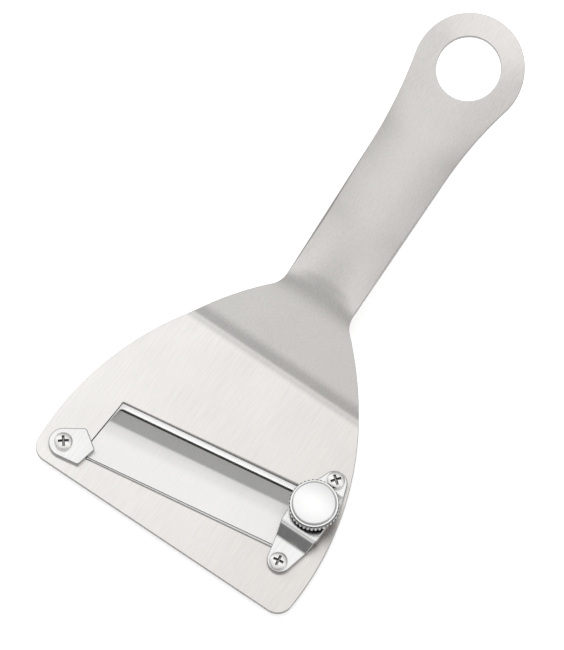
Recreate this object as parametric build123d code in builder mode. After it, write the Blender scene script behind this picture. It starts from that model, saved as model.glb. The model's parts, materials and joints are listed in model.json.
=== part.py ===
from build123d import *
import os
from math import cos, pi, radians, sin, tan

# Adjustable cheese slicer, in millimetres.
# X runs to the right, Y from the front edge towards the handle, Z up.
# The origin is under the middle of the whole tool, level with the cutting edge as it is set at rest.
# Lengths named "from_front" are measured along Y from the front edge of the head.

# Body: one sheet of steel, bent into a flat head, a ramp and a handle
plate_thickness = 1.8
head_width = 101.7
head_side_radius = 105.1
head_widest_from_front = 11.7
front_corner_radius = 5.5
ramp_from_front = 69.7
ramp_bend_radius = 5.0
ramp_angle = 26.8
neck_from_front = 95.5
neck_fillet_radius = 7.2
crease_radius = 25.0
handle_angle = 16.5
handle_width_at_neck = 26.1
handle_width_at_flare = 29.0
flare_radius = 136.0
handle_arch_radius = 42.0
arch_starts_from_front = 98.0
arch_full_from_front = 120.0
arch_fades_from_front = 148.0
arch_gone_from_front = 163.5
end_bend_from_front = 166.5
end_bend_radius = 40.0
end_angle = 9.0
end_centre_from_front = 181.6
end_radius = 18.6
hang_hole_radius = 10.7

# Blade window, slanted across the head; its margins are to the head's widest place
blade_slant = 8.4
window_back_from_front = 13.57
window_depth = 22.3
window_left_margin = 14.45
window_left_lean = 12.2
window_right_margin = 9.85
window_corner_radius = 0.4

# Blade: flat at the back, bent down in front, with the cutting edge on its underside corner
blade_thickness = 0.9
blade_sink = 0.36
blade_edge_gap = 1.8
lip_reach = 4.6
blade_bend_radius = 3.0
blade_lip_angle = 27.0
bevel_width = 1.5
bevel_land = 0.08
blade_clearance = 0.3
lip_corner_radius = 1.3
lip_end_to_adjuster = 6.7
tab_relief = 1.0
tab_front_gap = 1.9

# Pivot ears of the blade, held under the clip and under the near foot of the bridge
pivot_depth = 2.3
ear_width = 2.0
ear_length_left = 3.3
ear_length_right = 3.2
ear_side_clearance = 0.2
ear_floor_clearance = 0.15

# Screws of the clip and the bridge, and the sheet that they hold
screw_radius = 1.5
screw_head_radius = 3.05
screw_head_height = 2.0
screw_head_rim = 0.7
screw_clearance = 0.02
screw_hole_clearance = 0.1
recess_length = 3.7
recess_width = 0.95
recess_depth = 1.35
recess_taper = 12.0
screw_turns = {"clip": 38, "near": 8, "far": 52}
strap_thickness = 2.0

# Blade clip, on a screw beside the window's back left corner
clip_screw_to_window = 6.6
clip_end_radius = 4.9
clip_axis_angle = 21.3
clip_shoulder_reach = 6.3
clip_shoulder_half_width = 5.75
clip_nose_reach = 10.0
clip_corner_radius = 0.45
strap_edge_radius = 0.25

# Adjuster bridge: its near foot stays by the window's back edge, and the rest follows the adjuster's axis
bridge_inset = 2.1
near_screw_to_window = 4.3
far_screw_to_ramp = 3.5
foot_end_radius = 4.25
foot_end_setback = 0.8
platform_width = 14.0
platform_corner_radius = 0.8
platform_before_adjuster = 9.5
platform_beyond_adjuster = 5.5
near_ramp_run = 4.2
far_ramp_run = 3.6
platform_rise = 4.0
bridge_bend_radius = 0.9

# Knob, stud and nut on the adjuster's axis, which stands back from the window's front edge
adjuster_setback = 6.0
stud_radius = 2.0
stud_tip_above_sole = 0.05
stud_chamfer = 0.4
running_clearance = 0.08
washer_radius = 4.5
washer_thickness = 0.5
knob_end_play = 0.05
hub_radius = 4.6
hub_height = 1.1
knob_radius = 8.4
knob_skirt_height = 4.7
knob_chamfer = 0.4
knob_cap_radius = 7.6
knob_cap_height = 1.1
knob_cap_rounding = 0.5
knob_dome_height = 0.45
knurl_count = 38
knurl_radius = 0.45
knurl_depth = 0.35
stud_bore_depth = 5.0
ring_thickness = 0.6
ring_play = 0.1
ring_groove_radius = 1.5
ring_radius = 3.4
ring_relief_radius = 2.4
ring_prong_width = 1.5
ring_prong_overlap = 0.3
ring_prong_angles = (90, 200, 340)
ring_mouth_width = 2.6
ring_clearance = 0.05
nut_waist_radius = 2.95
nut_waist_half_flat = 2.6
nut_waist_clearance = 0.4
nut_flange_radius = 3.8
nut_top_flange = 1.2
nut_bottom_flange = 0.9
nut_chamfer = 0.3
fork_clearance = 0.2
nut_window_clearance = 0.45

# How far cuts and blanks run past what they shape, and how far ramp and handle run past their crease
overrun = 4.0

quarter_turn = 90


# Frame of the tool: where the head's top face lies, with the cutting edge at height zero
lip_run = lip_reach + blade_thickness * sin(radians(blade_lip_angle))
lip_drop = lip_run * tan(radians(blade_lip_angle))
cutting_edge_drop = blade_sink + lip_drop + blade_thickness * cos(radians(blade_lip_angle))
overall_length = end_centre_from_front + end_radius
top_plane = Plane(origin=(0, -overall_length / 2, cutting_edge_drop))
side_plane = Plane(origin=top_plane.origin, x_dir=(0, 1, 0), z_dir=(1, 0, 0))
half_width = head_width / 2


# Frame of the blade: X along its length, Y from its back edge towards the handle
blade_x_dir = (cos(radians(blade_slant)), sin(radians(blade_slant)), 0)
blade_y_dir = (-sin(radians(blade_slant)), cos(radians(blade_slant)), 0)
blade_plane = Plane(
    origin=top_plane.from_local_coords((0, window_back_from_front, 0)),
    x_dir=blade_x_dir,
    z_dir=(0, 0, 1),
)
blade_side_plane = Plane(origin=blade_plane.origin, x_dir=blade_y_dir, z_dir=blade_x_dir)
blade_bend_depth = window_depth - blade_edge_gap - lip_reach
window_left_back = half_width - window_left_margin
window_right_x = half_width - window_right_margin


def blade_x(head_x, depth):
    """Blade coordinate along its length, at a given X of the head and a depth from the window's back edge."""
    return (head_x + depth * sin(radians(blade_slant))) / cos(radians(blade_slant))


def window_left(depth):
    """Blade coordinate of the window's leaning left side, at a depth from the back edge."""
    return -window_left_back + depth * tan(radians(window_left_lean))


def from_front_at(head_x, depth):
    """Distance from the front edge, at a given X of the head and a depth from the window's back edge."""
    return window_back_from_front + (depth + head_x * sin(radians(blade_slant))) / cos(radians(blade_slant))


# Places along the bridge
bridge_x = window_right_x - bridge_inset
adjuster_from_front = from_front_at(bridge_x, window_depth - adjuster_setback)
near_screw_from_front = from_front_at(bridge_x, 0) - near_screw_to_window
platform_start_from_front = adjuster_from_front - platform_before_adjuster
platform_end_from_front = adjuster_from_front + platform_beyond_adjuster
near_foot_end_from_front = platform_start_from_front - near_ramp_run
far_foot_start_from_front = platform_end_from_front + far_ramp_run
far_screw_from_front = far_foot_start_from_front + far_screw_to_ramp


# Frame of the handle: its line starts on the ramp at the crease
neck_rise = (neck_from_front - ramp_from_front) * tan(radians(ramp_angle))
handle_direction = (0, cos(radians(handle_angle)), sin(radians(handle_angle)))


def handle_rise(from_front):
    """Height of the handle's top line above the head's top face."""
    return neck_rise + (from_front - neck_from_front) * tan(radians(handle_angle))


def handle_section(from_front):
    """Plane square to the handle, with its origin on the handle's top line."""
    return Plane(
        origin=top_plane.from_local_coords((0, from_front, handle_rise(from_front))),
        x_dir=(1, 0, 0),
        z_dir=tuple(-value for value in handle_direction),
    )


# Body
blank_half_width = end_radius + overrun
arch_sag = handle_arch_radius - (handle_arch_radius**2 - blank_half_width**2) ** 0.5
arch_steps = 6
end_bend_rise = handle_rise(end_bend_from_front)
end_tip_from_front = overall_length + overrun
end_tip_rise = end_bend_rise + (end_tip_from_front - end_bend_from_front) * tan(radians(end_angle))


def arch_outline(sag):
    """Closed outline of the handle's cross-section, which falls by the given height at the blank's sides."""
    for drop in (0, plate_thickness):
        left = (-blank_half_width, -sag - drop)
        right = (blank_half_width, -sag - drop)
        if sag > 0:
            ThreePointArc(left, (0, -drop), right)
        else:
            Line(left, right)
    for side in (-1, 1):
        Line((side * blank_half_width, -sag), (side * blank_half_width, -sag - plate_thickness))


def changing_arch(first_from_front, last_from_front, first_share, last_share):
    """Length of the handle's blank whose arch changes smoothly from one share of its full height to another."""
    with BuildPart() as blank:
        for step in range(arch_steps + 1):
            travel = step / arch_steps
            share = first_share + (last_share - first_share) * (1 - cos(pi * travel)) / 2
            station = first_from_front + (last_from_front - first_from_front) * travel
            with BuildSketch(handle_section(station)):
                with BuildLine():
                    arch_outline(arch_sag * share)
                make_face()
        loft()
    return blank.part


# Head, ramp and flat neck
with BuildPart() as head_and_neck:
    with BuildSketch(side_plane):
        with BuildLine():
            FilletPolyline(
                (0, 0),
                (ramp_from_front, 0),
                (neck_from_front, neck_rise),
                (arch_starts_from_front, handle_rise(arch_starts_from_front)),
                radius=[ramp_bend_radius, crease_radius],
            )
            offset(amount=plate_thickness, side=Side.RIGHT)
        make_face()
    extrude(amount=half_width + overrun, both=True)

# Handle, arched between the neck and the hang hole
arch_length = (arch_fades_from_front - arch_full_from_front) / cos(radians(handle_angle))
with BuildPart() as handle:
    add(changing_arch(arch_starts_from_front, arch_full_from_front, 0, 1))
    with BuildSketch(handle_section(arch_full_from_front)):
        with BuildLine():
            arch_outline(arch_sag)
        make_face()
    extrude(amount=-arch_length)
    add(changing_arch(arch_fades_from_front, arch_gone_from_front, 1, 0))

# Flat end of the handle, bent a little less steep
with BuildPart() as handle_end:
    with BuildSketch(side_plane):
        with BuildLine():
            FilletPolyline(
                (arch_gone_from_front, handle_rise(arch_gone_from_front)),
                (end_bend_from_front, end_bend_rise),
                (end_tip_from_front, end_tip_rise),
                radius=end_bend_radius,
            )
            offset(amount=plate_thickness, side=Side.RIGHT)
        make_face()
    extrude(amount=blank_half_width, both=True)

# Outline of the whole sheet, seen from above; the handle's sides run straight from inside the head
head_side_x = half_width - head_side_radius
waist_from_front = neck_from_front - neck_fillet_radius
handle_side_lean = (handle_width_at_flare - handle_width_at_neck) / 2 / (end_centre_from_front - waist_from_front)
handle_root_half_width = handle_width_at_neck / 2 - handle_side_lean * (waist_from_front - head_widest_from_front)
with BuildPart() as sheet_outline:
    with BuildSketch(top_plane.offset(-plate_thickness - overrun)) as sheet_sketch:
        with Locations((head_side_x, head_widest_from_front)):
            Circle(head_side_radius)
        with Locations((-head_side_x, head_widest_from_front)):
            Circle(head_side_radius, mode=Mode.INTERSECT)
        Rectangle(
            head_width + overrun * 2,
            end_centre_from_front,
            align=(Align.CENTER, Align.MIN),
            mode=Mode.INTERSECT,
        )
        Polygon(
            (-handle_root_half_width, head_widest_from_front),
            (handle_root_half_width, head_widest_from_front),
            (handle_width_at_flare / 2, end_centre_from_front),
            (-handle_width_at_flare / 2, end_centre_from_front),
            align=None,
        )
        with Locations((0, end_centre_from_front)):
            Circle(end_radius)
        fillet(sheet_sketch.vertices().sort_by(Axis.Y)[-2:], radius=flare_radius)
        fillet(sheet_sketch.vertices().sort_by(Axis.Y)[2:4], radius=neck_fillet_radius)
        fillet(sheet_sketch.vertices().sort_by(Axis.Y)[0:2], radius=front_corner_radius)
    extrude(amount=end_tip_rise + plate_thickness + overrun * 2)

# Places that the body shares with what is fixed to it
window_back_corner = top_plane.to_local_coords(blade_plane.from_local_coords((window_left(0), 0, 0)))
screw_places = {
    "clip": (window_back_corner.X - clip_screw_to_window, window_back_corner.Y),
    "near": (bridge_x, near_screw_from_front),
    "far": (bridge_x, far_screw_from_front),
}
adjuster_place = (bridge_x, adjuster_from_front)
left_ear_end = window_left(pivot_depth) - ear_length_left
right_ear_end = blade_x(window_right_x, pivot_depth) + ear_length_right
seat_floor = -blade_sink - blade_thickness - ear_floor_clearance
end_normal = (0, -sin(radians(end_angle)), cos(radians(end_angle)))
hole_rise = end_bend_rise + (end_centre_from_front - end_bend_from_front) * tan(radians(end_angle))
hole_plane = Plane(
    origin=top_plane.from_local_coords((0, end_centre_from_front, hole_rise)),
    x_dir=(1, 0, 0),
    z_dir=end_normal,
)

with BuildPart() as body:
    add(head_and_neck.part)
    add(handle.part)
    add(handle_end.part)
    add(sheet_outline.part, mode=Mode.INTERSECT)
    # Window of the blade, with a round notch that lets the nut's flanges through
    with BuildSketch(top_plane) as window_sketch:
        corners_in_blade = (
            (window_left(0), 0),
            (window_left(window_depth), window_depth),
            (blade_x(window_right_x, window_depth), window_depth),
            (blade_x(window_right_x, 0), 0),
        )
        window_corners = [
            top_plane.to_local_coords(blade_plane.from_local_coords((*corner, 0)))
            for corner in corners_in_blade
        ]
        Polygon(*[(corner.X, corner.Y) for corner in window_corners], align=None)
        fillet(window_sketch.vertices(), radius=window_corner_radius)
        with Locations(adjuster_place):
            Circle(nut_flange_radius + nut_window_clearance)
    extrude(amount=-plate_thickness - overrun, mode=Mode.SUBTRACT)
    # Seats of the pivot ears
    with BuildSketch(blade_plane.offset(seat_floor)):
        for ear_end, ear_length, side in (
            (left_ear_end, ear_length_left, Align.MIN),
            (right_ear_end, ear_length_right, Align.MAX),
        ):
            seat_end = ear_end - ear_side_clearance if side == Align.MIN else ear_end + ear_side_clearance
            with Locations((seat_end, pivot_depth)):
                Rectangle(
                    ear_length + ear_side_clearance + ear_width,
                    ear_width + ear_side_clearance * 2,
                    align=(side, Align.CENTER),
                )
    extrude(amount=-seat_floor + overrun, mode=Mode.SUBTRACT)
    # Threaded holes of the screws
    with Locations(*[top_plane.location * Pos(x, y, 0) for x, y in screw_places.values()]):
        Hole(screw_radius + screw_clearance)
    # Hang hole, square to the handle's end
    with BuildSketch(hole_plane):
        Circle(hang_hole_radius)
    extrude(amount=plate_thickness + overrun, both=True, mode=Mode.SUBTRACT)
body.part.label = "body"

# Blade
lip_top_depth = blade_bend_depth + lip_run
lip_flat_limit = blade_bend_depth - blade_bend_radius * tan(radians(blade_lip_angle / 2))
lip_plane = Plane(
    origin=blade_side_plane.from_local_coords((lip_top_depth, -blade_sink - lip_drop, 0)),
    x_dir=Vector(blade_y_dir) * cos(radians(blade_lip_angle)) - Vector(0, 0, sin(radians(blade_lip_angle))),
    z_dir=blade_x_dir,
)
adjuster_in_blade = blade_plane.to_local_coords(top_plane.from_local_coords((*adjuster_place, 0)))
lip_end = adjuster_in_blade.X - lip_end_to_adjuster
blade_left_shift = blade_clearance / cos(radians(window_left_lean))
blade_right_x = window_right_x - blade_clearance
tab_front = window_depth - tab_front_gap


def blade_left(depth):
    """Left side of the blade, which keeps its clearance from the window."""
    return window_left(depth) + blade_left_shift


with BuildPart() as blade:
    with BuildSketch(blade_side_plane):
        with BuildLine():
            FilletPolyline(
                (blade_clearance, -blade_sink),
                (blade_bend_depth, -blade_sink),
                (lip_top_depth, -blade_sink - lip_drop),
                radius=blade_bend_radius,
            )
            offset(amount=blade_thickness, side=Side.RIGHT)
        make_face()
    extrude(amount=half_width, both=True)
    # Ground bevel, which leaves the cutting edge on the underside
    with BuildSketch(lip_plane):
        Polygon(
            (-bevel_width, 0),
            (-bevel_width, overrun),
            (overrun, overrun),
            (overrun, bevel_land - blade_thickness),
            (0, bevel_land - blade_thickness),
            align=None,
        )
    extrude(amount=half_width, both=True, mode=Mode.SUBTRACT)
    # Outline of the flat and its bent lip
    with BuildSketch(blade_plane.offset(-cutting_edge_drop - overrun)) as blade_outline:
        Polygon(
            (blade_left(0), 0),
            (blade_left(lip_top_depth), lip_top_depth),
            (lip_end, lip_top_depth),
            (lip_end, lip_flat_limit),
            (blade_x(blade_right_x, lip_flat_limit), lip_flat_limit),
            (blade_x(blade_right_x, 0), 0),
            align=None,
        )
        lip_corner = blade_outline.vertices().sort_by_distance((blade_left(lip_top_depth), lip_top_depth))[0]
        fillet(lip_corner, radius=lip_corner_radius)
    extrude(amount=cutting_edge_drop + overrun * 2, mode=Mode.INTERSECT)
    # Flat tab with the fork that holds the nut
    with BuildSketch(blade_plane.offset(-blade_sink)):
        Polygon(
            (lip_end + tab_relief, lip_flat_limit - blade_bend_radius),
            (lip_end + tab_relief, tab_front),
            (blade_x(blade_right_x, tab_front), tab_front),
            (blade_x(blade_right_x, lip_flat_limit - blade_bend_radius), lip_flat_limit - blade_bend_radius),
            align=None,
        )
    extrude(amount=-blade_thickness)
    with BuildSketch(blade_plane.offset(overrun)):
        with Locations((adjuster_in_blade.X - nut_waist_radius - fork_clearance, adjuster_in_blade.Y)):
            Rectangle(
                nut_waist_radius * 2 + overrun,
                (nut_waist_half_flat + fork_clearance) * 2,
                align=(Align.MIN, Align.CENTER),
            )
    extrude(amount=-cutting_edge_drop - overrun * 2, mode=Mode.SUBTRACT)
    # Pivot ears
    with BuildSketch(blade_plane.offset(-blade_sink)):
        for ear_end, ear_length, side in (
            (left_ear_end, ear_length_left, Align.MIN),
            (right_ear_end, ear_length_right, Align.MAX),
        ):
            with Locations((ear_end, pivot_depth)):
                Rectangle(ear_length + ear_width, ear_width, align=(side, Align.CENTER))
    extrude(amount=-blade_thickness)
blade.part.label = "blade"

# Blade clip
clip_plane = Plane(
    origin=top_plane.from_local_coords((*screw_places["clip"], 0)),
    x_dir=(cos(radians(clip_axis_angle)), sin(radians(clip_axis_angle)), 0),
    z_dir=(0, 0, 1),
)
with BuildPart() as blade_clip:
    with BuildSketch(clip_plane):
        Circle(clip_end_radius)
        with Locations(
            (clip_shoulder_reach, clip_shoulder_half_width),
            (clip_shoulder_reach, -clip_shoulder_half_width),
            (clip_nose_reach, 0),
        ):
            Circle(clip_corner_radius)
        make_hull()
    extrude(amount=strap_thickness)
    fillet(blade_clip.faces().sort_by(Axis.Z)[-1].edges(), radius=strap_edge_radius)
    with BuildSketch(clip_plane):
        Circle(screw_radius + screw_hole_clearance)
    extrude(amount=strap_thickness, mode=Mode.SUBTRACT)
blade_clip.part.label = "blade_clip"

# Adjuster bridge
platform_top = strap_thickness + platform_rise
platform_length = platform_end_from_front - platform_start_from_front
outer_bend_radius = strap_thickness + bridge_bend_radius
with BuildPart() as adjuster_bridge:
    with BuildSketch(side_plane):
        with BuildLine():
            FilletPolyline(
                (near_screw_from_front - foot_end_radius - overrun, strap_thickness),
                (near_foot_end_from_front, strap_thickness),
                (platform_start_from_front, platform_top),
                (platform_end_from_front, platform_top),
                (far_foot_start_from_front, strap_thickness),
                (far_screw_from_front + foot_end_radius + overrun, strap_thickness),
                radius=[bridge_bend_radius, outer_bend_radius, outer_bend_radius, bridge_bend_radius],
            )
            offset(amount=strap_thickness, side=Side.RIGHT)
        make_face()
    extrude(amount=half_width)
    with BuildSketch(top_plane):
        with Locations(
            (bridge_x, near_screw_from_front + foot_end_setback),
            (bridge_x, far_screw_from_front - foot_end_setback),
        ):
            Circle(foot_end_radius)
        with Locations((bridge_x, (platform_start_from_front + platform_end_from_front) / 2)):
            RectangleRounded(platform_width, platform_length, platform_corner_radius)
        make_hull()
    extrude(amount=platform_top, mode=Mode.INTERSECT)
    with BuildSketch(top_plane):
        with Locations(screw_places["near"], screw_places["far"]):
            Circle(screw_radius + screw_hole_clearance)
        with Locations(adjuster_place):
            Circle(stud_radius + running_clearance)
    extrude(amount=platform_top, mode=Mode.SUBTRACT)
adjuster_bridge.part.label = "adjuster_bridge"

# Screws, made once with the head's seat at height zero
with BuildPart() as screw:
    with BuildSketch(Plane.XZ):
        with BuildLine():
            EllipticalCenterArc(
                (0, screw_head_rim),
                screw_head_radius,
                screw_head_height - screw_head_rim,
                arc_size=quarter_turn,
            )
            Polyline(
                (0, screw_head_height),
                (0, -strap_thickness - plate_thickness),
                (screw_radius, -strap_thickness - plate_thickness),
                (screw_radius, 0),
                (screw_head_radius, 0),
                (screw_head_radius, screw_head_rim),
            )
        make_face()
    revolve(axis=Axis.Z)
    with BuildSketch(Plane.XY.offset(screw_head_height)):
        Rectangle(recess_length, recess_width)
        Rectangle(recess_width, recess_length)
    extrude(amount=-recess_depth, taper=recess_taper, mode=Mode.SUBTRACT)

screw_seat = top_plane.offset(strap_thickness)
with BuildPart() as clip_screw:
    with Locations(screw_seat.location * Pos(*screw_places["clip"], 0) * Rot(Z=screw_turns["clip"])):
        add(screw.part)
clip_screw.part.label = "clip_screw"

with BuildPart() as bridge_screws:
    for name in ("near", "far"):
        with Locations(screw_seat.location * Pos(*screw_places[name], 0) * Rot(Z=screw_turns[name])):
            add(screw.part)
bridge_screws.part.label = "bridge_screws"

# Adjuster: heights are measured from the head's top face
adjuster_plane = Plane(
    origin=top_plane.from_local_coords((*adjuster_place, 0)),
    x_dir=blade_x_dir,
    z_dir=(0, 0, 1),
)
adjuster_side = Plane(
    origin=adjuster_plane.origin,
    x_dir=blade_x_dir,
    z_dir=tuple(-value for value in blade_y_dir),
)
hub_bottom = platform_top + washer_thickness + knob_end_play
skirt_bottom = hub_bottom + hub_height
skirt_top = skirt_bottom + knob_skirt_height
cap_edge = skirt_top + knob_cap_height
knob_top = cap_edge + knob_dome_height
ring_top = platform_rise - ring_play
stud_tip = stud_tip_above_sole - plate_thickness
stud_top = hub_bottom + stud_bore_depth

with BuildPart() as thrust_washer:
    with BuildSketch(adjuster_plane.offset(platform_top)):
        Circle(washer_radius)
        Circle(stud_radius + running_clearance, mode=Mode.SUBTRACT)
    extrude(amount=washer_thickness)
thrust_washer.part.label = "thrust_washer"

with BuildPart() as adjuster_knob:
    with BuildSketch(adjuster_side):
        with BuildLine():
            Polyline(
                (0, knob_top),
                (0, stud_top),
                (stud_radius, stud_top),
                (stud_radius, hub_bottom),
                (hub_radius, hub_bottom),
                (hub_radius, skirt_bottom),
                (knob_radius - knob_chamfer, skirt_bottom),
                (knob_radius, skirt_bottom + knob_chamfer),
                (knob_radius, skirt_top - knob_chamfer),
                (knob_radius - knob_chamfer, skirt_top),
                (knob_cap_radius, skirt_top),
                (knob_cap_radius, cap_edge - knob_cap_rounding),
            )
            TangentArc(
                (knob_cap_radius, cap_edge - knob_cap_rounding),
                (knob_cap_radius - knob_cap_rounding, cap_edge),
                tangent=(0, 1),
            )
            TangentArc((0, knob_top), (knob_cap_radius - knob_cap_rounding, cap_edge), tangent=(1, 0))
        make_face()
    revolve(axis=Axis(adjuster_plane.origin, (0, 0, 1)))
    with BuildSketch(adjuster_plane.offset(skirt_bottom)):
        with PolarLocations(knob_radius + knurl_radius - knurl_depth, knurl_count):
            Circle(knurl_radius)
    extrude(amount=knob_skirt_height, mode=Mode.SUBTRACT)
adjuster_knob.part.label = "adjuster_knob"

with BuildPart() as adjuster_stud:
    with BuildSketch(adjuster_side):
        groove_bottom = ring_top - ring_thickness - ring_clearance
        groove_top = ring_top + ring_clearance
        Polygon(
            (0, stud_top),
            (0, stud_tip),
            (stud_radius - stud_chamfer, stud_tip),
            (stud_radius, stud_tip + stud_chamfer),
            (stud_radius, groove_bottom),
            (ring_groove_radius, groove_bottom),
            (ring_groove_radius, groove_top),
            (stud_radius, groove_top),
            (stud_radius, stud_top),
            align=None,
        )
    revolve(axis=Axis(adjuster_plane.origin, (0, 0, 1)))
adjuster_stud.part.label = "adjuster_stud"

with BuildPart() as retaining_ring:
    with BuildSketch(adjuster_plane.offset(ring_top)):
        Circle(ring_radius)
        Circle(ring_relief_radius, mode=Mode.SUBTRACT)
        for angle in ring_prong_angles:
            with Locations(Rot(Z=angle)):
                Rectangle(
                    ring_relief_radius + ring_prong_overlap,
                    ring_prong_width,
                    align=(Align.MIN, Align.CENTER),
                )
        Circle(ring_groove_radius + ring_clearance, mode=Mode.SUBTRACT)
        Rectangle(ring_mouth_width, ring_radius, align=(Align.CENTER, Align.MAX), mode=Mode.SUBTRACT)
    extrude(amount=-ring_thickness)
retaining_ring.part.label = "retaining_ring"

# Lift nut: two flanges with a flat-sided waist in the blade's fork
waist_bottom = -blade_sink - blade_thickness - nut_waist_clearance
waist_top = -blade_sink + nut_waist_clearance
with BuildPart() as lift_nut:
    with BuildSketch(adjuster_plane.offset(waist_bottom)):
        Circle(nut_flange_radius)
    extrude(amount=-nut_bottom_flange)
    with BuildSketch(adjuster_plane.offset(waist_top)):
        Circle(nut_flange_radius)
    extrude(amount=nut_top_flange)
    chamfer(lift_nut.edges().filter_by(GeomType.CIRCLE).group_by(Axis.Z)[0], length=nut_chamfer)
    chamfer(lift_nut.edges().filter_by(GeomType.CIRCLE).group_by(Axis.Z)[-1], length=nut_chamfer)
    with BuildSketch(adjuster_plane.offset(waist_bottom)):
        Circle(nut_waist_radius)
        Rectangle(nut_waist_radius * 2, nut_waist_half_flat * 2, mode=Mode.INTERSECT)
    extrude(amount=waist_top - waist_bottom)
    with BuildSketch(adjuster_plane.offset(waist_bottom - nut_bottom_flange)):
        Circle(stud_radius + running_clearance)
    extrude(amount=waist_top - waist_bottom + nut_bottom_flange + nut_top_flange, mode=Mode.SUBTRACT)
lift_nut.part.label = "lift_nut"

os.makedirs("parts", exist_ok=True)
for piece in (
    body,
    blade,
    blade_clip,
    clip_screw,
    adjuster_bridge,
    bridge_screws,
    thrust_washer,
    adjuster_knob,
    adjuster_stud,
    retaining_ring,
    lift_nut,
):
    export_step(piece.part, f"parts/{piece.part.label}.step")
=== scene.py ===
import json
from math import atan2, ceil, cos, hypot, pi, radians, sin, sqrt, tan

import bpy
import numpy as np
from mathutils import Matrix, Vector
from mathutils.geometry import delaunay_2d_cdt


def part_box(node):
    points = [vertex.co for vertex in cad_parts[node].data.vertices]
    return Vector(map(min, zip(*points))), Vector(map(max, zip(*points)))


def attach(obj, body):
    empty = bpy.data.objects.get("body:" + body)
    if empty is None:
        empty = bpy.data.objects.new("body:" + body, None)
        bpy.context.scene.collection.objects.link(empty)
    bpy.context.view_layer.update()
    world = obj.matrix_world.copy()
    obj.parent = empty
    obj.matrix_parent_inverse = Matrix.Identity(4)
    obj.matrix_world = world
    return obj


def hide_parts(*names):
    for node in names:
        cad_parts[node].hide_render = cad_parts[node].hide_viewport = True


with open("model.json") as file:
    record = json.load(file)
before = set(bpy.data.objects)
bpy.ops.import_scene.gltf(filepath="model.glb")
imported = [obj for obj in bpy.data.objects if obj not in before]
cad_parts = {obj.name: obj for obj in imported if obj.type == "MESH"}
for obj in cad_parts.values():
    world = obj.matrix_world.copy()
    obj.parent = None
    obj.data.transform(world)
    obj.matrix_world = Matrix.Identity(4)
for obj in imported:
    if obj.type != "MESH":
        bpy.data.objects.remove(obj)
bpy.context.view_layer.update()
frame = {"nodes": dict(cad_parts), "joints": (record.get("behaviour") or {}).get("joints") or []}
nodes = frame["nodes"]
joint_places = {joint["name"]: Vector(joint.get("pos_m", (0, 0, 0))) for joint in frame["joints"]}

# Shapes are worked out in millimetres: x to the right, y from the head's front edge towards the handle,
# and heights above the head's top face. The frame of the tool is in metres.
MM = 0.001
PLATE_THICKNESS = 1.8
STRAP_THICKNESS = 2.0
body_low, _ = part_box("body")
FRONT_Y = body_low.y
HEAD_TOP_Z = body_low.z + PLATE_THICKNESS * MM
ORIGIN = np.array((0, FRONT_Y, HEAD_TOP_Z))


def to_frame(points):
    """Points (x, y from the front, height above the head) in millimetres, as an array in the tool's frame."""
    return np.asarray(points, float) * MM + ORIGIN


def to_millimetres(places):
    """Places in the tool's frame, as points in millimetres."""
    return (places - ORIGIN) / MM


def values_of(items, what, width=1, kind=float):
    """One value, or a row of them, for each of a mesh's vertices, loops or faces."""
    values = np.empty(len(items) * width, kind)
    items.foreach_get(what, values)
    return values.reshape(-1, width) if width > 1 else values


def set_smooth(mesh):
    mesh.polygons.foreach_set("use_smooth", [True] * len(mesh.polygons))


def new_mesh(name, points, faces):
    """A mesh from points in millimetres."""
    mesh = bpy.data.meshes.new(name)
    mesh.from_pydata([tuple(p) for p in to_frame(points)], [], faces)
    return mesh


def add_object(name, data):
    """A new object in the scene."""
    added = bpy.data.objects.new(name, data)
    bpy.context.scene.collection.objects.link(added)
    return added


def new_piece(name, points, faces, body, node, normals=None):
    """A mesh object from points in millimetres, which rides on a body and stands for a CAD node."""
    mesh = new_mesh(name, points, faces)
    mesh.update()
    set_smooth(mesh)
    if normals is not None:
        mesh.normals_split_custom_set_from_vertices([tuple(n) for n in normals])
    piece = add_object(name, mesh)
    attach(piece, body)
    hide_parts(node)
    return piece


def face_places(piece):
    """Centres, in millimetres, and normals of a piece's faces."""
    polygons = piece.data.polygons
    return to_millimetres(values_of(polygons, "center", 3)), values_of(polygons, "normal", 3)


def paint_shade(piece, shares):
    """Paints shade on faces by a share each: cut edges, ground bevels, bottoms of recesses, grooves,
    undersides.
    """
    painted_shade = piece.data.attributes.new("painted_shade", "FLOAT", "FACE")
    painted_shade.data.foreach_set("value", np.asarray(shares, float))


# Flat outlines: lists of points, counter-clockwise seen from above

SPACING = 0.8
# Points nearer each other than this are one
SAME_PLACE = 1e-4
# A corner that encloses less area than this lies on a straight line
STRAIGHT = 1e-9


def arc(centre, radius, start, end, spacing=SPACING):
    """Points along an arc, from one angle to another in radians."""
    count = max(2, ceil(abs(end - start) * radius / spacing))
    angles = [start + (end - start) * i / count for i in range(count + 1)]
    return [(centre[0] + radius * cos(a), centre[1] + radius * sin(a)) for a in angles]


def circle(centre, radius, spacing=SPACING):
    return arc(centre, radius, 0, 2 * pi, spacing)[:-1]


def line(start, end, spacing=SPACING):
    """Points along a straight line."""
    count = max(1, ceil(hypot(end[0] - start[0], end[1] - start[1]) / spacing))
    return [tuple(start[k] + (end[k] - start[k]) * i / count for k in (0, 1)) for i in range(count + 1)]


def angle_to(centre, point):
    return atan2(point[1] - centre[1], point[0] - centre[0])


def joined(*runs):
    """One loop from several runs of points, without repeated points."""
    loop = []
    for point in (p for run in runs for p in run):
        if not loop or hypot(point[0] - loop[-1][0], point[1] - loop[-1][1]) > SAME_PLACE:
            loop.append(point)
    if hypot(loop[0][0] - loop[-1][0], loop[0][1] - loop[-1][1]) < SAME_PLACE:
        loop.pop()
    return loop


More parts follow.
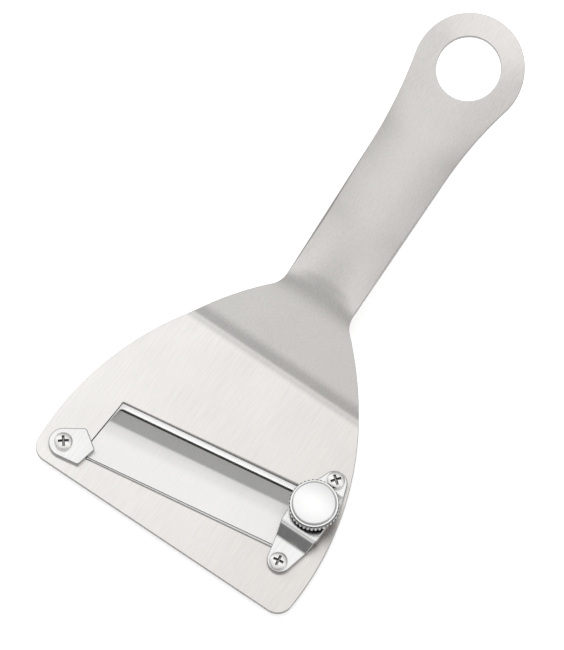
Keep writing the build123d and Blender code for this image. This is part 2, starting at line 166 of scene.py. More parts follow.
def corner_arc(before, here, after, radius, spacing):
    """Points of the arc that rounds the corner between two straight lines."""
    here = Vector(here)
    before, after = (Vector(before) - here).normalized(), (Vector(after) - here).normalized()
    half = before.angle(after) / 2
    centre = here + (before + after).normalized() * radius / sin(half)
    first = angle_to(centre, here + before * radius / tan(half))
    last = angle_to(centre, here + after * radius / tan(half))
    last += 2 * pi * round((first - last) / (2 * pi))
    return arc(centre, radius, first, last, spacing)


def rounded(corners, radii, spacing=SPACING):
    """Closed outline through corners, each rounded by its own radius."""
    around = zip(corners[-1:] + corners[:-1], corners, corners[1:] + corners[:1], radii)
    runs = [corner_arc(*corner, radius, min(spacing, radius / 3)) for *corner, radius in around]
    links = [line(run[-1], after[0], spacing) for run, after in zip(runs, runs[1:] + runs[:1])]
    return joined(*[run for pair in zip(runs, links) for run in pair])


def hull(points, spacing):
    """Convex outline round points, with points along its straight parts."""
    points = sorted(set((round(x, 6), round(y, 6)) for x, y in points))

    def chain(order):
        kept = []
        for x, y in order:
            while len(kept) > 1:
                (ax, ay), (bx, by) = kept[-2:]
                if (bx - ax) * (y - ay) - (by - ay) * (x - ax) > STRAIGHT:
                    break
                kept.pop()
            kept.append((x, y))
        return kept[:-1]

    corners = chain(points) + chain(reversed(points))
    return joined(*[line(a, b, spacing) for a, b in zip(corners, corners[1:] + corners[:1])])


def inside(points, loop):
    """Which points lie inside a closed loop."""
    x, y = points[:, 0], points[:, 1]
    within = np.zeros(len(points), bool)
    for (x0, y0), (x1, y1) in zip(loop, list(loop[1:]) + list(loop[:1])):
        if y0 != y1:
            within ^= ((y0 > y) != (y1 > y)) & (x < (x1 - x0) * (y - y0) / (y1 - y0) + x0)
    return within


# Sheets: any plate cut to an outline and bent, with softly rounded edges

BEND_STEPS_PER_RADIAN = 40
# Distance over which a sheet's slope is measured
SLOPE_STEP = 0.01


def bent_line(corners, radii):
    """Height along a line of straight parts joined by arcs, as a function."""
    bent = [corners[0]]
    for before, here, after, radius in zip(corners, corners[1:], corners[2:], radii):
        bent += corner_arc(before, here, after, radius, radius / BEND_STEPS_PER_RADIAN)
    places, heights = zip(*bent, corners[-1])
    return lambda at: np.interp(at, places, heights)


def unit(rows):
    return rows / np.linalg.norm(rows, axis=1)[:, None]


# Cosines between which a rounded edge turns from the sheet's bright face to its cut edge with painted shade
FLAT_LIMIT = 0.90
EDGE_LIMIT = 0.60


class Sheet:
    """A bent plate: the height of its top face at points of its outline's plane, and its thickness.

    cut is the depth to which the top face is ground away, place brings points of the outline's axes to
    the head's and back does the reverse, and upright measures the thickness straight down.
    """

    def __init__(self, height, thickness, step=SLOPE_STEP, cut=None, place=None, back=None, upright=False):
        self.height, self.thickness, self.step, self.cut, self.upright = height, thickness, step, cut, upright
        self.place = place or (lambda points: points)
        self.back = back or (lambda x, y: (x, y))

    def turned(self, normals):
        """Normals of the outline's axes, in the head's."""
        return self.place(normals) - self.place(np.zeros((1, 3)))

    def edge_share(self, piece, flat=FLAT_LIMIT, edge=EDGE_LIMIT):
        """How far each face turns away from the sheet's top or bottom: 0 on them and 1 on its edges."""
        centres, normals = face_places(piece)
        x, y = self.back(centres[:, 0], centres[:, 1])
        along = np.abs(np.sum(self.turned(self.normals(self.plain, x, y)) * normals, axis=1))
        return np.clip((flat - along) / (flat - edge), 0, 1)

    def normals(self, surface, x, y):
        """Upward normals of a surface, which gives points from places in the outline's plane."""
        along = surface(x + self.step, y) - surface(x - self.step, y)
        across = surface(x, y + self.step) - surface(x, y - self.step)
        return unit(np.cross(along, across))

    def plain(self, x, y):
        return np.stack((x, y, self.height(x, y)), axis=1)

    def ground(self, x, y):
        """The top face where it has been cut away."""
        return self.plain(x, y) - self.normals(self.plain, x, y) * self.cut(x, y)[:, None]

    def faces(self, flat):
        """Top points, bottom points, and the outward normals of both."""
        x, y = flat[:, 0], flat[:, 1]
        normal = self.normals(self.plain, x, y)
        top = self.plain(x, y)
        if self.upright:
            bottom = top - np.stack((0 * x, 0 * x, self.thickness / normal[:, 2]), axis=1)
        else:
            bottom = top - normal * self.thickness
        if not self.cut:
            return top, bottom, normal, -normal
        return self.ground(x, y), bottom, self.normals(self.ground, x, y), -normal


# Share of the outline's spacing that the grid's points keep from it
GRID_CLEARANCE = 0.35
# Distance at which the triangulation takes two points for one
TRIANGLE_REACH = 1e-7


def outline_normals(loop, material_inside):
    """Directions at an outline's points, in its plane, that lead out of the material."""
    ahead, behind = np.roll(loop, -1, axis=0) - loop, loop - np.roll(loop, 1, axis=0)
    tangent = unit(unit(ahead) + unit(behind))
    return np.stack((tangent[:, 1], -tangent[:, 0]), axis=1) * (1 if material_inside else -1)


def in_material(points, rings, sides):
    """Which points lie in the material; sides says of each ring whether the material is inside it."""
    kept = np.ones(len(points), bool)
    for ring, material_inside in zip(rings, sides):
        kept &= inside(points, ring) == material_inside
    return kept


def plane_faces(flat, rings, sides):
    """Counter-clockwise triangles of the material between points that start with those of the rings."""
    edges, start = [], 0
    for ring in rings:
        edges += [(start + i, start + (i + 1) % len(ring)) for i in range(len(ring))]
        start += len(ring)
    vectors = [Vector(p) for p in flat]
    verts, _, faces, origins, *_ = delaunay_2d_cdt(vectors, edges, [], 0, TRIANGLE_REACH)
    if len(verts) != len(flat):
        raise RuntimeError("an outline has points in the same place")
    faces = np.array([[origins[v][0] for v in face] for face in faces])
    faces = faces[in_material(flat[faces].mean(axis=1), rings, sides)]
    a, b, c = (flat[faces[:, k]] for k in range(3))
    flipped = (b[:, 0] - a[:, 0]) * (c[:, 1] - a[:, 1]) < (b[:, 1] - a[:, 1]) * (c[:, 0] - a[:, 0])
    faces[flipped] = faces[flipped][:, ::-1]
    return faces


def sheet_mesh(sheet, loops, grid, rims, steps):
    """Points, normals and faces of a sheet.

    loops are outlines with whether the material is inside them and, where it isn't the common one,
    the rounding of their upper edge at each point. rims are the common roundings of the upper and
    lower edges, and steps is the number of faces across each.
    """
    bottom_rim = rims[1]
    outlines = [np.asarray(loop) for loop, *_ in loops]
    sides = [material_inside for _, material_inside, *_ in loops]
    top_rims = [own[0][:, None] if own else np.full((len(loop), 1), rims[0]) for loop, _, *own in loops]
    outward = [outline_normals(loop, material_inside) for loop, material_inside in zip(outlines, sides)]
    inset = [loop - normal * rim for loop, normal, rim in zip(outlines, outward, top_rims)]
    rings = np.concatenate(inset)
    grid = grid[in_material(grid, inset, sides)]
    clearance = GRID_CLEARANCE * np.median([hypot(*(b - a)) for a, b in zip(rings, rings[1:])])
    nearest = np.array([np.min(np.sum((rings - p) ** 2, axis=1)) for p in grid])
    flat = np.concatenate((rings, grid[nearest > clearance**2]))
    faces = plane_faces(flat, inset, sides)
    top, _, upper, _ = sheet.faces(flat)
    # The bottom face's outline is as far from the edge as its own rim is wide
    under = flat.copy()
    under[: len(rings)] += np.concatenate(outward) * (np.concatenate(top_rims) - bottom_rim)
    _, bottom, _, lower = sheet.faces(under)
    points, normals = [top, bottom], [upper, lower]
    mesh_faces = [tuple(map(int, face)) for face in faces]
    mesh_faces += [tuple(int(v) + len(flat) for v in face[::-1]) for face in faces]
    total, start = 2 * len(flat), 0
    turns = [radians(90 * i / steps) for i in range(1, steps + 1)]
    for loop, material_inside, normal, top_rim in zip(outlines, sides, outward, top_rims):
        count = len(loop)
        rows = [np.arange(start, start + count)]
        for from_top, rim, side in ((True, top_rim, turns), (False, bottom_rim, turns[::-1])):
            for turn in side:
                high, low, up, down = sheet.faces(loop - normal * rim * (1 - sin(turn)))
                through = low - high
                depth = np.linalg.norm(through, axis=1)[:, None]
                sink = rim * (1 - cos(turn))
                point = high + through * sink / depth if from_top else low - through * sink / depth
                face = up if from_top else down
                out = np.concatenate((normal, np.zeros((count, 1))), axis=1)
                out = unit(out - face * np.sum(out * face, axis=1)[:, None])
                points.append(point)
                normals.append(out * sin(turn) + face * cos(turn))
                rows.append(np.arange(total, total + count))
                total += count
        rows.append(np.arange(len(flat) + start, len(flat) + start + count))
        for above, below in zip(rows, rows[1:]):
            for i in range(count):
                j = (i + 1) % count
                quad = (above[i], below[i], below[j], above[j])
                mesh_faces.append(tuple(int(v) for v in (quad if material_inside else quad[::-1])))
        start += count
    return sheet.place(np.concatenate(points)), sheet.turned(np.concatenate(normals)), mesh_faces


def grid_of(columns, rows):
    """Points where the columns and rows of a grid cross."""
    return np.stack(np.meshgrid(columns, rows), axis=-1).reshape(-1, 2)


def even_grid(low, high, spacing_x, spacing_y=None):
    """Evenly spaced grid points over a rectangle."""
    return grid_of(np.arange(low[0], high[0], spacing_x), np.arange(low[1], high[1], spacing_y or spacing_x))


# Body: one sheet with the head, the ramp and the handle

HEAD_WIDTH = 101.66
SIDE_RADIUS = 105.1
WIDEST_Y = 11.7
FRONT_CORNER_RADIUS = 5.5
NECK_Y = 95.5
NECK_FILLET_RADIUS = 7.2
NECK_HALF_WIDTH = 13.05
FLARE_HALF_WIDTH = 14.5
FLARE_RADIUS = 136.0
END_Y = 181.6
END_RADIUS = 18.6
HOLE_RADIUS = 10.7
RAMP_Y = 69.7
RAMP_SLOPE = tan(radians(26.8))
# The ramp's bend is quick at first and slower after that
FIRST_SLOPE = 0.40
LAST_BEND_Y = 73.5
FIRST_SOFTNESS = 0.86
LAST_SOFTNESS = 0.16
CREASE_Y = 94.9
HANDLE_ANGLE = radians(16.5)
ARCH_RADIUS = 42.0
ARCH_STARTS_Y = 89.0
ARCH_FULL_Y = 121.0
ARCH_FADES_Y = 134.0
ARCH_GONE_Y = 208.0
# The handle's line is a little steeper where it leaves the neck, and hardly less steep after that
BOW_STARTS_Y = 98.0
BOW_TURNS_Y = 126.0
BOW_ENDS_Y = 166.0
BOW_SLOPE = 0.032
END_BEND_Y = 166.5
END_SLOPE = tan(radians(9.0))
CREASE_SOFTNESS = 1.3
END_SOFTNESS = 1.8
TIP_Y = 188.0
TIP_SLOPE = tan(radians(6.0))
TIP_SOFTNESS = 0.25
SCREW_HOLE_RADIUS = 1.52
SHEET_RIM = 0.2
SHEET_UNDER_RIM = 0.15
SHEET_RIM_STEPS = 4
BACK_EDGE_RIM = 0.75
FRONT_EDGE_RIM = 0.95
# The window's long edges are rolled over within this distance, the front one by this share at the left
ROLL_DEPTH = 1.0
ROLL_LEFT_SHARE = 0.5
TIGHT_SPACING = 0.5
SMALL_SPACING = 0.4
BODY_GRID = 1.0
# Angles in degrees between faces up to which a piece is smooth
BODY_SMOOTHING = 50
KNOB_SMOOTHING = 40
SCREW_SMOOTHING = 35


def soft_min(a, b, width):
    """Smaller of two heights, rounded where they are nearer each other than the given width."""
    share = np.clip(1 - np.abs(a - b) / width, 0, 1)
    return np.minimum(a, b) - share * share * width / 4


def bend(y, place, slope, softness):
    """Height of a line that is level up to a place and rises from there, with a rounded bend between."""
    return -soft_min(0 * y, -(y - place) * slope, softness)


def eased(y, first, last):
    """Smooth step from 0 at the first place to 1 at the last."""
    return (1 - np.cos(pi * np.clip((y - first) / (last - first), 0, 1))) / 2


def bow(y):
    """Height that the handle's slight bow adds to its line; it is nothing at both ends."""
    first, last = BOW_TURNS_Y - BOW_STARTS_Y, BOW_ENDS_Y - BOW_TURNS_Y
    settled = BOW_SLOPE * first / 2 / (first / 2 + last)
    along = np.clip(y, BOW_STARTS_Y, BOW_TURNS_Y) - BOW_STARTS_Y
    beyond = np.clip(y, BOW_TURNS_Y, BOW_ENDS_Y) - BOW_TURNS_Y
    return BOW_SLOPE * along - (BOW_SLOPE + settled) * along**2 / (2 * first) - settled * beyond


def body_height(x, y):
    """Height of the body's top face: head, ramp, arched handle and flat end."""
    rise = (CREASE_Y - RAMP_Y) * RAMP_SLOPE
    handle_slope = tan(HANDLE_ANGLE)
    first_bend_y = LAST_BEND_Y - (LAST_BEND_Y - RAMP_Y) * RAMP_SLOPE / FIRST_SLOPE
    ramp = bend(y, first_bend_y, FIRST_SLOPE, FIRST_SOFTNESS)
    ramp += bend(y, LAST_BEND_Y, RAMP_SLOPE - FIRST_SLOPE, LAST_SOFTNESS)
    arch = eased(y, ARCH_STARTS_Y, ARCH_FULL_Y) * (1 - eased(y, ARCH_FADES_Y, ARCH_GONE_Y))
    reach = np.minimum(np.abs(x), END_RADIUS)
    sag = (ARCH_RADIUS - np.sqrt(ARCH_RADIUS**2 - reach**2)) / cos(HANDLE_ANGLE) * arch
    handle = rise + (y - CREASE_Y) * handle_slope
    end = rise + (END_BEND_Y - CREASE_Y) * handle_slope + (y - END_BEND_Y) * END_SLOPE
    end = end - bend(y, TIP_Y, END_SLOPE - TIP_SLOPE, TIP_SOFTNESS)
    handle = soft_min(handle + bow(y), end, END_SOFTNESS) - sag
    return np.where(y < RAMP_Y, ramp, soft_min(ramp, handle, CREASE_SOFTNESS))


def body_outline():
    side_centre = (HEAD_WIDTH / 2 - SIDE_RADIUS, WIDEST_Y)
    inner = SIDE_RADIUS - FRONT_CORNER_RADIUS
    corner = (side_centre[0] + sqrt(inner**2 - (WIDEST_Y - FRONT_CORNER_RADIUS) ** 2), FRONT_CORNER_RADIUS)
    corner_end = angle_to(side_centre, corner)
    waist = Vector((NECK_HALF_WIDTH, NECK_Y - NECK_FILLET_RADIUS))
    along = (Vector((FLARE_HALF_WIDTH, END_Y)) - waist).normalized()
    across = Vector((along.y, -along.x))

    def fillet_centre(circle_centre, distance, radius, sign):
        """Centre at a distance from a circle's centre and at a radius from the handle's side."""
        base = waist + across * radius - Vector(circle_centre)
        middle = base.dot(along)
        travel = sign * sqrt(middle**2 - base.length_squared + distance**2) - middle
        return Vector(circle_centre) + base + along * travel

    neck = fillet_centre(side_centre, SIDE_RADIUS + NECK_FILLET_RADIUS, NECK_FILLET_RADIUS, 1)
    flare = fillet_centre((0, END_Y), END_RADIUS + FLARE_RADIUS, FLARE_RADIUS, -1)
    side_angle = angle_to((0, 0), -across) % (2 * pi)
    half = joined(
        line((0, 0), (corner[0], 0)),
        arc(corner, FRONT_CORNER_RADIUS, -pi / 2, corner_end, TIGHT_SPACING),
        arc(side_centre, SIDE_RADIUS, corner_end, angle_to(side_centre, neck)),
        arc(neck, NECK_FILLET_RADIUS, angle_to(neck, side_centre) + 2 * pi, side_angle, TIGHT_SPACING),
        arc(flare, FLARE_RADIUS, side_angle, angle_to(flare, (0, END_Y)) % (2 * pi)),
        arc((0, END_Y), END_RADIUS, angle_to((0, END_Y), flare), pi / 2),
    )
    return half + [(-x, y) for x, y in reversed(half[1:-1])]


# Window of the blade; its own axes run along the blade and from its back edge towards the handle

BLADE_SLANT = radians(8.4)
WINDOW_BACK_Y = 13.57
WINDOW_DEPTH = 22.3
WINDOW_LEFT = 36.4
WINDOW_LEFT_LEAN = radians(12.2)
WINDOW_RIGHT_X = 41.0
WINDOW_CORNER_RADIUS = 0.4
NOTCH_RADIUS = 4.25
# The window's own points give way to the notch on its right side, and this far beyond the notch's ends
ON_SIDE = 0.001
NOTCH_CLEARANCE = 0.2
PIVOT_DEPTH = 2.3
SEAT_FLOOR = -1.41
SEAT_HALF_WIDTH = 1.2
SEAT_LENGTH = 5.5
SEAT_CLEARANCE = 0.2
ADJUSTER_X = joint_places["thumb_screw_turn"].x / MM
ADJUSTER_Y = (joint_places["thumb_screw_turn"].y - FRONT_Y) / MM


def turned_plan(points, centre, angle):
    """Points turned about the vertical by an angle and moved to a centre."""
    points = np.asarray(points, float)
    turned = points.copy()
    turned[:, 0] = centre[0] + points[:, 0] * cos(angle) - points[:, 1] * sin(angle)
    turned[:, 1] = centre[1] + points[:, 0] * sin(angle) + points[:, 1] * cos(angle)
    return turned


def blade_to_head(points):
    """Points of the blade's axes, in the head's axes."""
    return turned_plan(points, (0, WINDOW_BACK_Y), BLADE_SLANT)


def head_to_blade(x, y):
    y = y - WINDOW_BACK_Y
    return x * cos(BLADE_SLANT) + y * sin(BLADE_SLANT), y * cos(BLADE_SLANT) - x * sin(BLADE_SLANT)


def right_side(head_x, depth):
    """Place along the blade where it crosses a given x of the head."""
    return (head_x + depth * sin(BLADE_SLANT)) / cos(BLADE_SLANT)


def left_side(depth):
    """Place along the blade of the window's leaning left side."""
    return -WINDOW_LEFT + depth * tan(WINDOW_LEFT_LEAN)


def window_outline():
    corners = [(left_side(0), 0), (right_side(WINDOW_RIGHT_X, 0), 0)]
    corners.append((right_side(WINDOW_RIGHT_X, WINDOW_DEPTH), WINDOW_DEPTH))
    corners.append((left_side(WINDOW_DEPTH), WINDOW_DEPTH))
    loop = [tuple(p) for p in blade_to_head(rounded(corners, [WINDOW_CORNER_RADIUS] * 4))]
    # Round notch that lets the nut's flanges through
    reach = sqrt(NOTCH_RADIUS**2 - (WINDOW_RIGHT_X - ADJUSTER_X) ** 2)
    low, high = (WINDOW_RIGHT_X, ADJUSTER_Y - reach), (WINDOW_RIGHT_X, ADJUSTER_Y + reach)
    centre = (ADJUSTER_X, ADJUSTER_Y)
    notch = arc(centre, NOTCH_RADIUS, angle_to(centre, low), angle_to(centre, high), SMALL_SPACING)
    near, far = low[1] - NOTCH_CLEARANCE, high[1] + NOTCH_CLEARANCE
    kept = [p for p in loop if p[0] < WINDOW_RIGHT_X - ON_SIDE or not near < p[1] < far]
    first = next(i for i, p in enumerate(kept) if p[1] > ADJUSTER_Y and p[0] > 0)
    return joined(kept[:first], notch, kept[first:])


def screw_places():
    """Plan places of the clip's screw and the bridge's near and far screws, from their nodes."""
    low, high = (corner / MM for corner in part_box("clip_screw"))
    places = [(low + high) / 2]
    low, high = (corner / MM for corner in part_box("bridge_screws"))
    radius = (high.x - low.x) / 2
    places += [Vector(((low.x + high.x) / 2, y, 0)) for y in (low.y + radius, high.y - radius)]
    return [(place.x, place.y - FRONT_Y / MM) for place in places]


CLIP_SCREW, NEAR_SCREW, FAR_SCREW = screw_places()


def boxed(centre, along, length, width, low, high):
    """Points and faces of a box in plan, turned to a direction, starting at a point of its middle line."""
    across = (-along[1], along[0])
    plan = [(0, -width / 2), (length, -width / 2), (length, width / 2), (0, width / 2)]
    points = [
        (centre[0] + along[0] * u + across[0] * v, centre[1] + along[1] * u + across[1] * v, z)
        for z in (low, high)
        for u, v in plan
    ]
    faces = [(3, 2, 1, 0), (4, 5, 6, 7)] + [(i, (i + 1) % 4, (i + 1) % 4 + 4, i + 4) for i in range(4)]
    return points, faces


def cut_away(piece, points, faces):
    """Cuts a closed shape, given in millimetres, out of a piece."""
    mesh = new_mesh("cutter", points, faces)
    cutter = add_object("cutter", mesh)
    cutting = piece.modifiers.new("cut", "BOOLEAN")
    cutting.operation = "DIFFERENCE"
    cutting.solver = "EXACT"
    cutting.object = cutter
    evaluated = piece.evaluated_get(bpy.context.evaluated_depsgraph_get())
    result = bpy.data.meshes.new_from_object(evaluated)
    piece.modifiers.clear()
    old = piece.data
    piece.data = result
    bpy.data.meshes.remove(old)
    bpy.data.objects.remove(cutter)
    bpy.data.meshes.remove(mesh)


# Cosine above which a face belongs to a sheet's top or bottom
ON_SHEET = 0.995


def smooth_by_faces(piece, limit, sheet=None):
    """Smooth normals across edges less sharp than the limit; a sheet's flat faces keep its own normals."""
    mesh = piece.data
    set_smooth(mesh)
    face_normal, area = values_of(mesh.polygons, "normal", 3), values_of(mesh.polygons, "area")
    corner_vertex = values_of(mesh.loops, "vertex_index", kind=int)
    corner_face = np.repeat(np.arange(len(mesh.polygons)), [p.loop_total for p in mesh.polygons])
    around = [[] for _ in mesh.vertices]
    for vertex, face in zip(corner_vertex, corner_face):
        around[vertex].append(face)
    near = cos(radians(limit))
    if sheet:
        places = to_millimetres(values_of(mesh.vertices, "co", 3))
        _, _, upper, lower = sheet.faces(places[:, :2])
        first_vertex = corner_vertex[np.unique(corner_face, return_index=True)[1]]
        flat_up = np.sum(face_normal * upper[first_vertex], axis=1)
        is_top, is_bottom = flat_up > ON_SHEET, flat_up < -ON_SHEET
    normals = np.empty((len(corner_vertex), 3))
    for k, (vertex, face) in enumerate(zip(corner_vertex, corner_face)):
        faces = [f for f in around[vertex] if face_normal[face] @ face_normal[f] > near]
        if sheet and any(is_top[f] for f in faces):
            normals[k] = upper[vertex]
        elif sheet and any(is_bottom[f] for f in faces):
            normals[k] = lower[vertex]
        else:
            total = sum(face_normal[f] * area[f] for f in faces)
            normals[k] = total / np.linalg.norm(total)
    mesh.normals_split_custom_set([tuple(n) for n in normals])


def make_body():
    sheet = Sheet(body_height, PLATE_THICKNESS, upright=True)
    window = window_outline()
    along, depth = head_to_blade(*np.asarray(window).T)
    rolled = ROLL_LEFT_SHARE + (1 - ROLL_LEFT_SHARE) * eased(along, -WINDOW_LEFT, WINDOW_LEFT)
    window_rims = SHEET_RIM + (BACK_EDGE_RIM - SHEET_RIM) * (1 - eased(depth, 0, ROLL_DEPTH))
    at_front = eased(depth, WINDOW_DEPTH - ROLL_DEPTH, WINDOW_DEPTH)
    window_rims += (FRONT_EDGE_RIM * rolled - SHEET_RIM) * at_front
    loops = [(body_outline(), True), (window, False, window_rims), (circle((0, END_Y), HOLE_RADIUS), False)]
    screws = (CLIP_SCREW, NEAR_SCREW, FAR_SCREW)
    loops += [(circle(place, SCREW_HOLE_RADIUS, SMALL_SPACING), False) for place in screws]
    grid = even_grid((-HEAD_WIDTH / 2, 0), (HEAD_WIDTH / 2, END_Y + END_RADIUS), BODY_GRID)
    points, _, faces = sheet_mesh(sheet, loops, grid, (SHEET_RIM, SHEET_UNDER_RIM), SHEET_RIM_STEPS)
    piece = new_piece("body_sheet", points, faces, "frame", "body")
    # Seats of the blade's ears
    for end, inwards in ((left_ear_end() - SEAT_CLEARANCE, 1), (right_ear_end() + SEAT_CLEARANCE, -1)):
        start = blade_to_head([(end, PIVOT_DEPTH)])[0]
        direction = (cos(BLADE_SLANT) * inwards, sin(BLADE_SLANT) * inwards)
        seat = boxed(start, direction, SEAT_LENGTH, SEAT_HALF_WIDTH * 2, SEAT_FLOOR, STRAP_THICKNESS)
        cut_away(piece, *seat)
    smooth_by_faces(piece, BODY_SMOOTHING, sheet)
    # Painted shade darkens the sheet's rounded edges and cut walls, standing in for their dark reflections
    paint_shade(piece, sheet.edge_share(piece))
    return piece


# Blade

BLADE_CLEARANCE = 0.3
BLADE_TOP = -0.36
BLADE_THICKNESS = 0.9
BLADE_SAG_DEPTH = 11.2
BLADE_SAG_RADIUS = 45.0
BLADE_SAG_ANGLE = radians(6.5)
BLADE_BEND_DEPTH = 14.9
BLADE_BEND_RADIUS = 5.0
BLADE_LIP_ANGLE = radians(17.5)
LIP_REACH = 6.15
BLADE_BACK_LEFT = 0.42
BLADE_BACK_RIGHT = 0.8
BEVEL_WIDTH = 1.4
BEVEL_DROP = 0.82
LIP_CORNER_RADIUS = 1.3
LIP_END_TO_ADJUSTER = 6.7
TAB_RELIEF = 1.0
TAB_FRONT = 20.4
EAR_LENGTH_LEFT = 3.3
EAR_LENGTH_RIGHT = 3.2
EAR_HALF_WIDTH = 1.0
FORK_REACH = 3.15
FORK_HALF_WIDTH = 2.8
BLADE_RIM = 0.03
BLADE_RIM_STEPS = 2
BLADE_CORNER_RADIUS = 0.3
BLADE_INNER_RADIUS = 0.15
LIP_CUT = 0.4
LINE_BEYOND = 5.0
BEVEL_OVERRUN = 1.2
BLADE_SLOPE_STEP = 0.04
BLADE_FLAT_LIMIT = 0.99
BLADE_EDGE_LIMIT = 0.90
# Rows of the blade's grid: the first one and the distances between them on the flat, lip and bevel
FIRST_ROW = 1.0
FLAT_ROWS = 0.9
LIP_ROWS = 0.25
BEVEL_ROWS = 0.3
BEVEL_CLEARANCE = 0.2
BEVEL_CREASE = 0.06


def left_ear_end():
    return left_side(PIVOT_DEPTH) - EAR_LENGTH_LEFT


def right_ear_end():
    return right_side(WINDOW_RIGHT_X, PIVOT_DEPTH) + EAR_LENGTH_RIGHT


def make_blade():
    lip_top = BLADE_BEND_DEPTH + LIP_REACH + BLADE_THICKNESS * sin(BLADE_LIP_ANGLE)
    bend_height = BLADE_TOP - (BLADE_BEND_DEPTH - BLADE_SAG_DEPTH) * tan(BLADE_SAG_ANGLE)
    lip_run = lip_top - BLADE_BEND_DEPTH + LINE_BEYOND
    line_points = [
        (-LINE_BEYOND, BLADE_TOP),
        (BLADE_SAG_DEPTH, BLADE_TOP),
        (BLADE_BEND_DEPTH, bend_height),
        (lip_top + LINE_BEYOND, bend_height - lip_run * tan(BLADE_LIP_ANGLE)),
    ]
    bent = bent_line(line_points, [BLADE_SAG_RADIUS, BLADE_BEND_RADIUS])
    adjuster_x, adjuster_depth = head_to_blade(ADJUSTER_X, ADJUSTER_Y)
    lip_end = adjuster_x - LIP_END_TO_ADJUSTER
    lip_root = BLADE_BEND_DEPTH - BLADE_BEND_RADIUS * tan(BLADE_LIP_ANGLE / 2)
    blend = TAB_RELIEF / 2
    tab_start = lip_end + blend
    bevel_start = lip_top - BEVEL_WIDTH * cos(BLADE_LIP_ANGLE)

    def height(x, y):
        share = eased(x, tab_start - blend, tab_start + blend)
        return bent(y) + (BLADE_TOP - bent(y)) * share

    def bevel(x, y):
        share = np.clip((y - bevel_start) / (lip_top - bevel_start), 0, BEVEL_OVERRUN)
        return np.where(x > tab_start, 0, share * BEVEL_DROP)

    def left(depth):
        return left_side(depth) + BLADE_CLEARANCE / cos(WINDOW_LEFT_LEAN)

    def right(depth):
        return right_side(WINDOW_RIGHT_X - BLADE_CLEARANCE, depth)

    ear_near, ear_far = PIVOT_DEPTH - EAR_HALF_WIDTH, PIVOT_DEPTH + EAR_HALF_WIDTH
    fork_near, fork_far = adjuster_depth - FORK_HALF_WIDTH, adjuster_depth + FORK_HALF_WIDTH
    fork_root = adjuster_x - FORK_REACH
    tab_end, lip_cut = lip_end + TAB_RELIEF, lip_root - LIP_CUT
    outer, inner = BLADE_CORNER_RADIUS, BLADE_INNER_RADIUS
    ear_left, ear_right = left_ear_end(), right_ear_end()
    corners = [
        (left(BLADE_BACK_LEFT), BLADE_BACK_LEFT, outer), (right(BLADE_BACK_RIGHT), BLADE_BACK_RIGHT, outer),
        (right(ear_near), ear_near, inner), (ear_right, ear_near, outer),
        (ear_right, ear_far, outer), (right(ear_far), ear_far, inner),
        (right(fork_near), fork_near, outer), (fork_root, fork_near, inner),
        (fork_root, fork_far, inner), (right(fork_far), fork_far, outer),
        (right(TAB_FRONT), TAB_FRONT, outer), (tab_end, TAB_FRONT, outer),
        (tab_end, lip_cut, outer), (lip_end, lip_cut, outer),
        (lip_end, lip_top, outer), (left(lip_top), lip_top, LIP_CORNER_RADIUS),
        (left(ear_far), ear_far, inner), (ear_left, ear_far, outer),
        (ear_left, ear_near, outer), (left(ear_near), ear_near, inner),
    ]
    outline = rounded([place for *place, _ in corners], [radius for *_, radius in corners], TIGHT_SPACING)
    flat_rows = np.arange(FIRST_ROW, lip_root, FLAT_ROWS)
    lip_rows = np.arange(lip_root, bevel_start - BEVEL_CLEARANCE, LIP_ROWS)
    crease_rows = [bevel_start - BEVEL_CREASE, bevel_start + BEVEL_CREASE]
    bevel_rows = np.arange(bevel_start + BEVEL_ROWS, lip_top, BEVEL_ROWS)
    columns = np.arange(ear_left, ear_right, SPACING)
    grid = grid_of(columns, np.concatenate((flat_rows, lip_rows, crease_rows, bevel_rows)))
    sheet = Sheet(height, BLADE_THICKNESS, BLADE_SLOPE_STEP, bevel, blade_to_head, head_to_blade)
    rims = (BLADE_RIM, BLADE_RIM)
    points, normals, faces = sheet_mesh(sheet, [(outline, True)], grid, rims, BLADE_RIM_STEPS)
    piece = new_piece("blade_strip", points, faces, "cutter", "blade", normals)
    # Painted shade darkens the ground bevel and the rims, standing in for the dark reflection at the blade's
    # edge
    paint_shade(piece, sheet.edge_share(piece, BLADE_FLAT_LIMIT, BLADE_EDGE_LIMIT))
    return piece


# Clip and bridge: straps with rounded edges

STRAP_RIM = 0.38
STRAP_UNDER_RIM = 0.1
STRAP_RIM_STEPS = 5
STRAP_HOLE_RADIUS = 1.6
STRAP_SPACING = 0.3
SHOULDER_SPACING = 0.2
SMALL_CORNER_SPACING = 0.15
CLIP_END_RADIUS = 4.9
CLIP_ANGLE = radians(21.3)
CLIP_SHOULDER = (5.85, 5.2)
CLIP_SHOULDER_RADIUS = 1.05
CLIP_NOSE_REACH = 9.8
CLIP_NOSE_RADIUS = 0.65
CLIP_GRID = 0.5
CLIP_GRID_BESIDE = 2
CLIP_GRID_BEYOND = 1


def make_strap(name, node, sheet, outline, holes, grid):
    """A strap with rounded edges and round holes, each given by its place and radius."""
    loops = [(outline, True)]
    loops += [(circle(place, radius, STRAP_SPACING), False) for place, radius in holes]
    rims = (STRAP_RIM, STRAP_UNDER_RIM)
    points, normals, faces = sheet_mesh(sheet, loops, grid, rims, STRAP_RIM_STEPS)
    piece = new_piece(name, points, faces, "frame", node, normals)
    # Painted shade darkens the rounded edges, standing in for their dark reflections
    paint_shade(piece, sheet.edge_share(piece))
    return piece


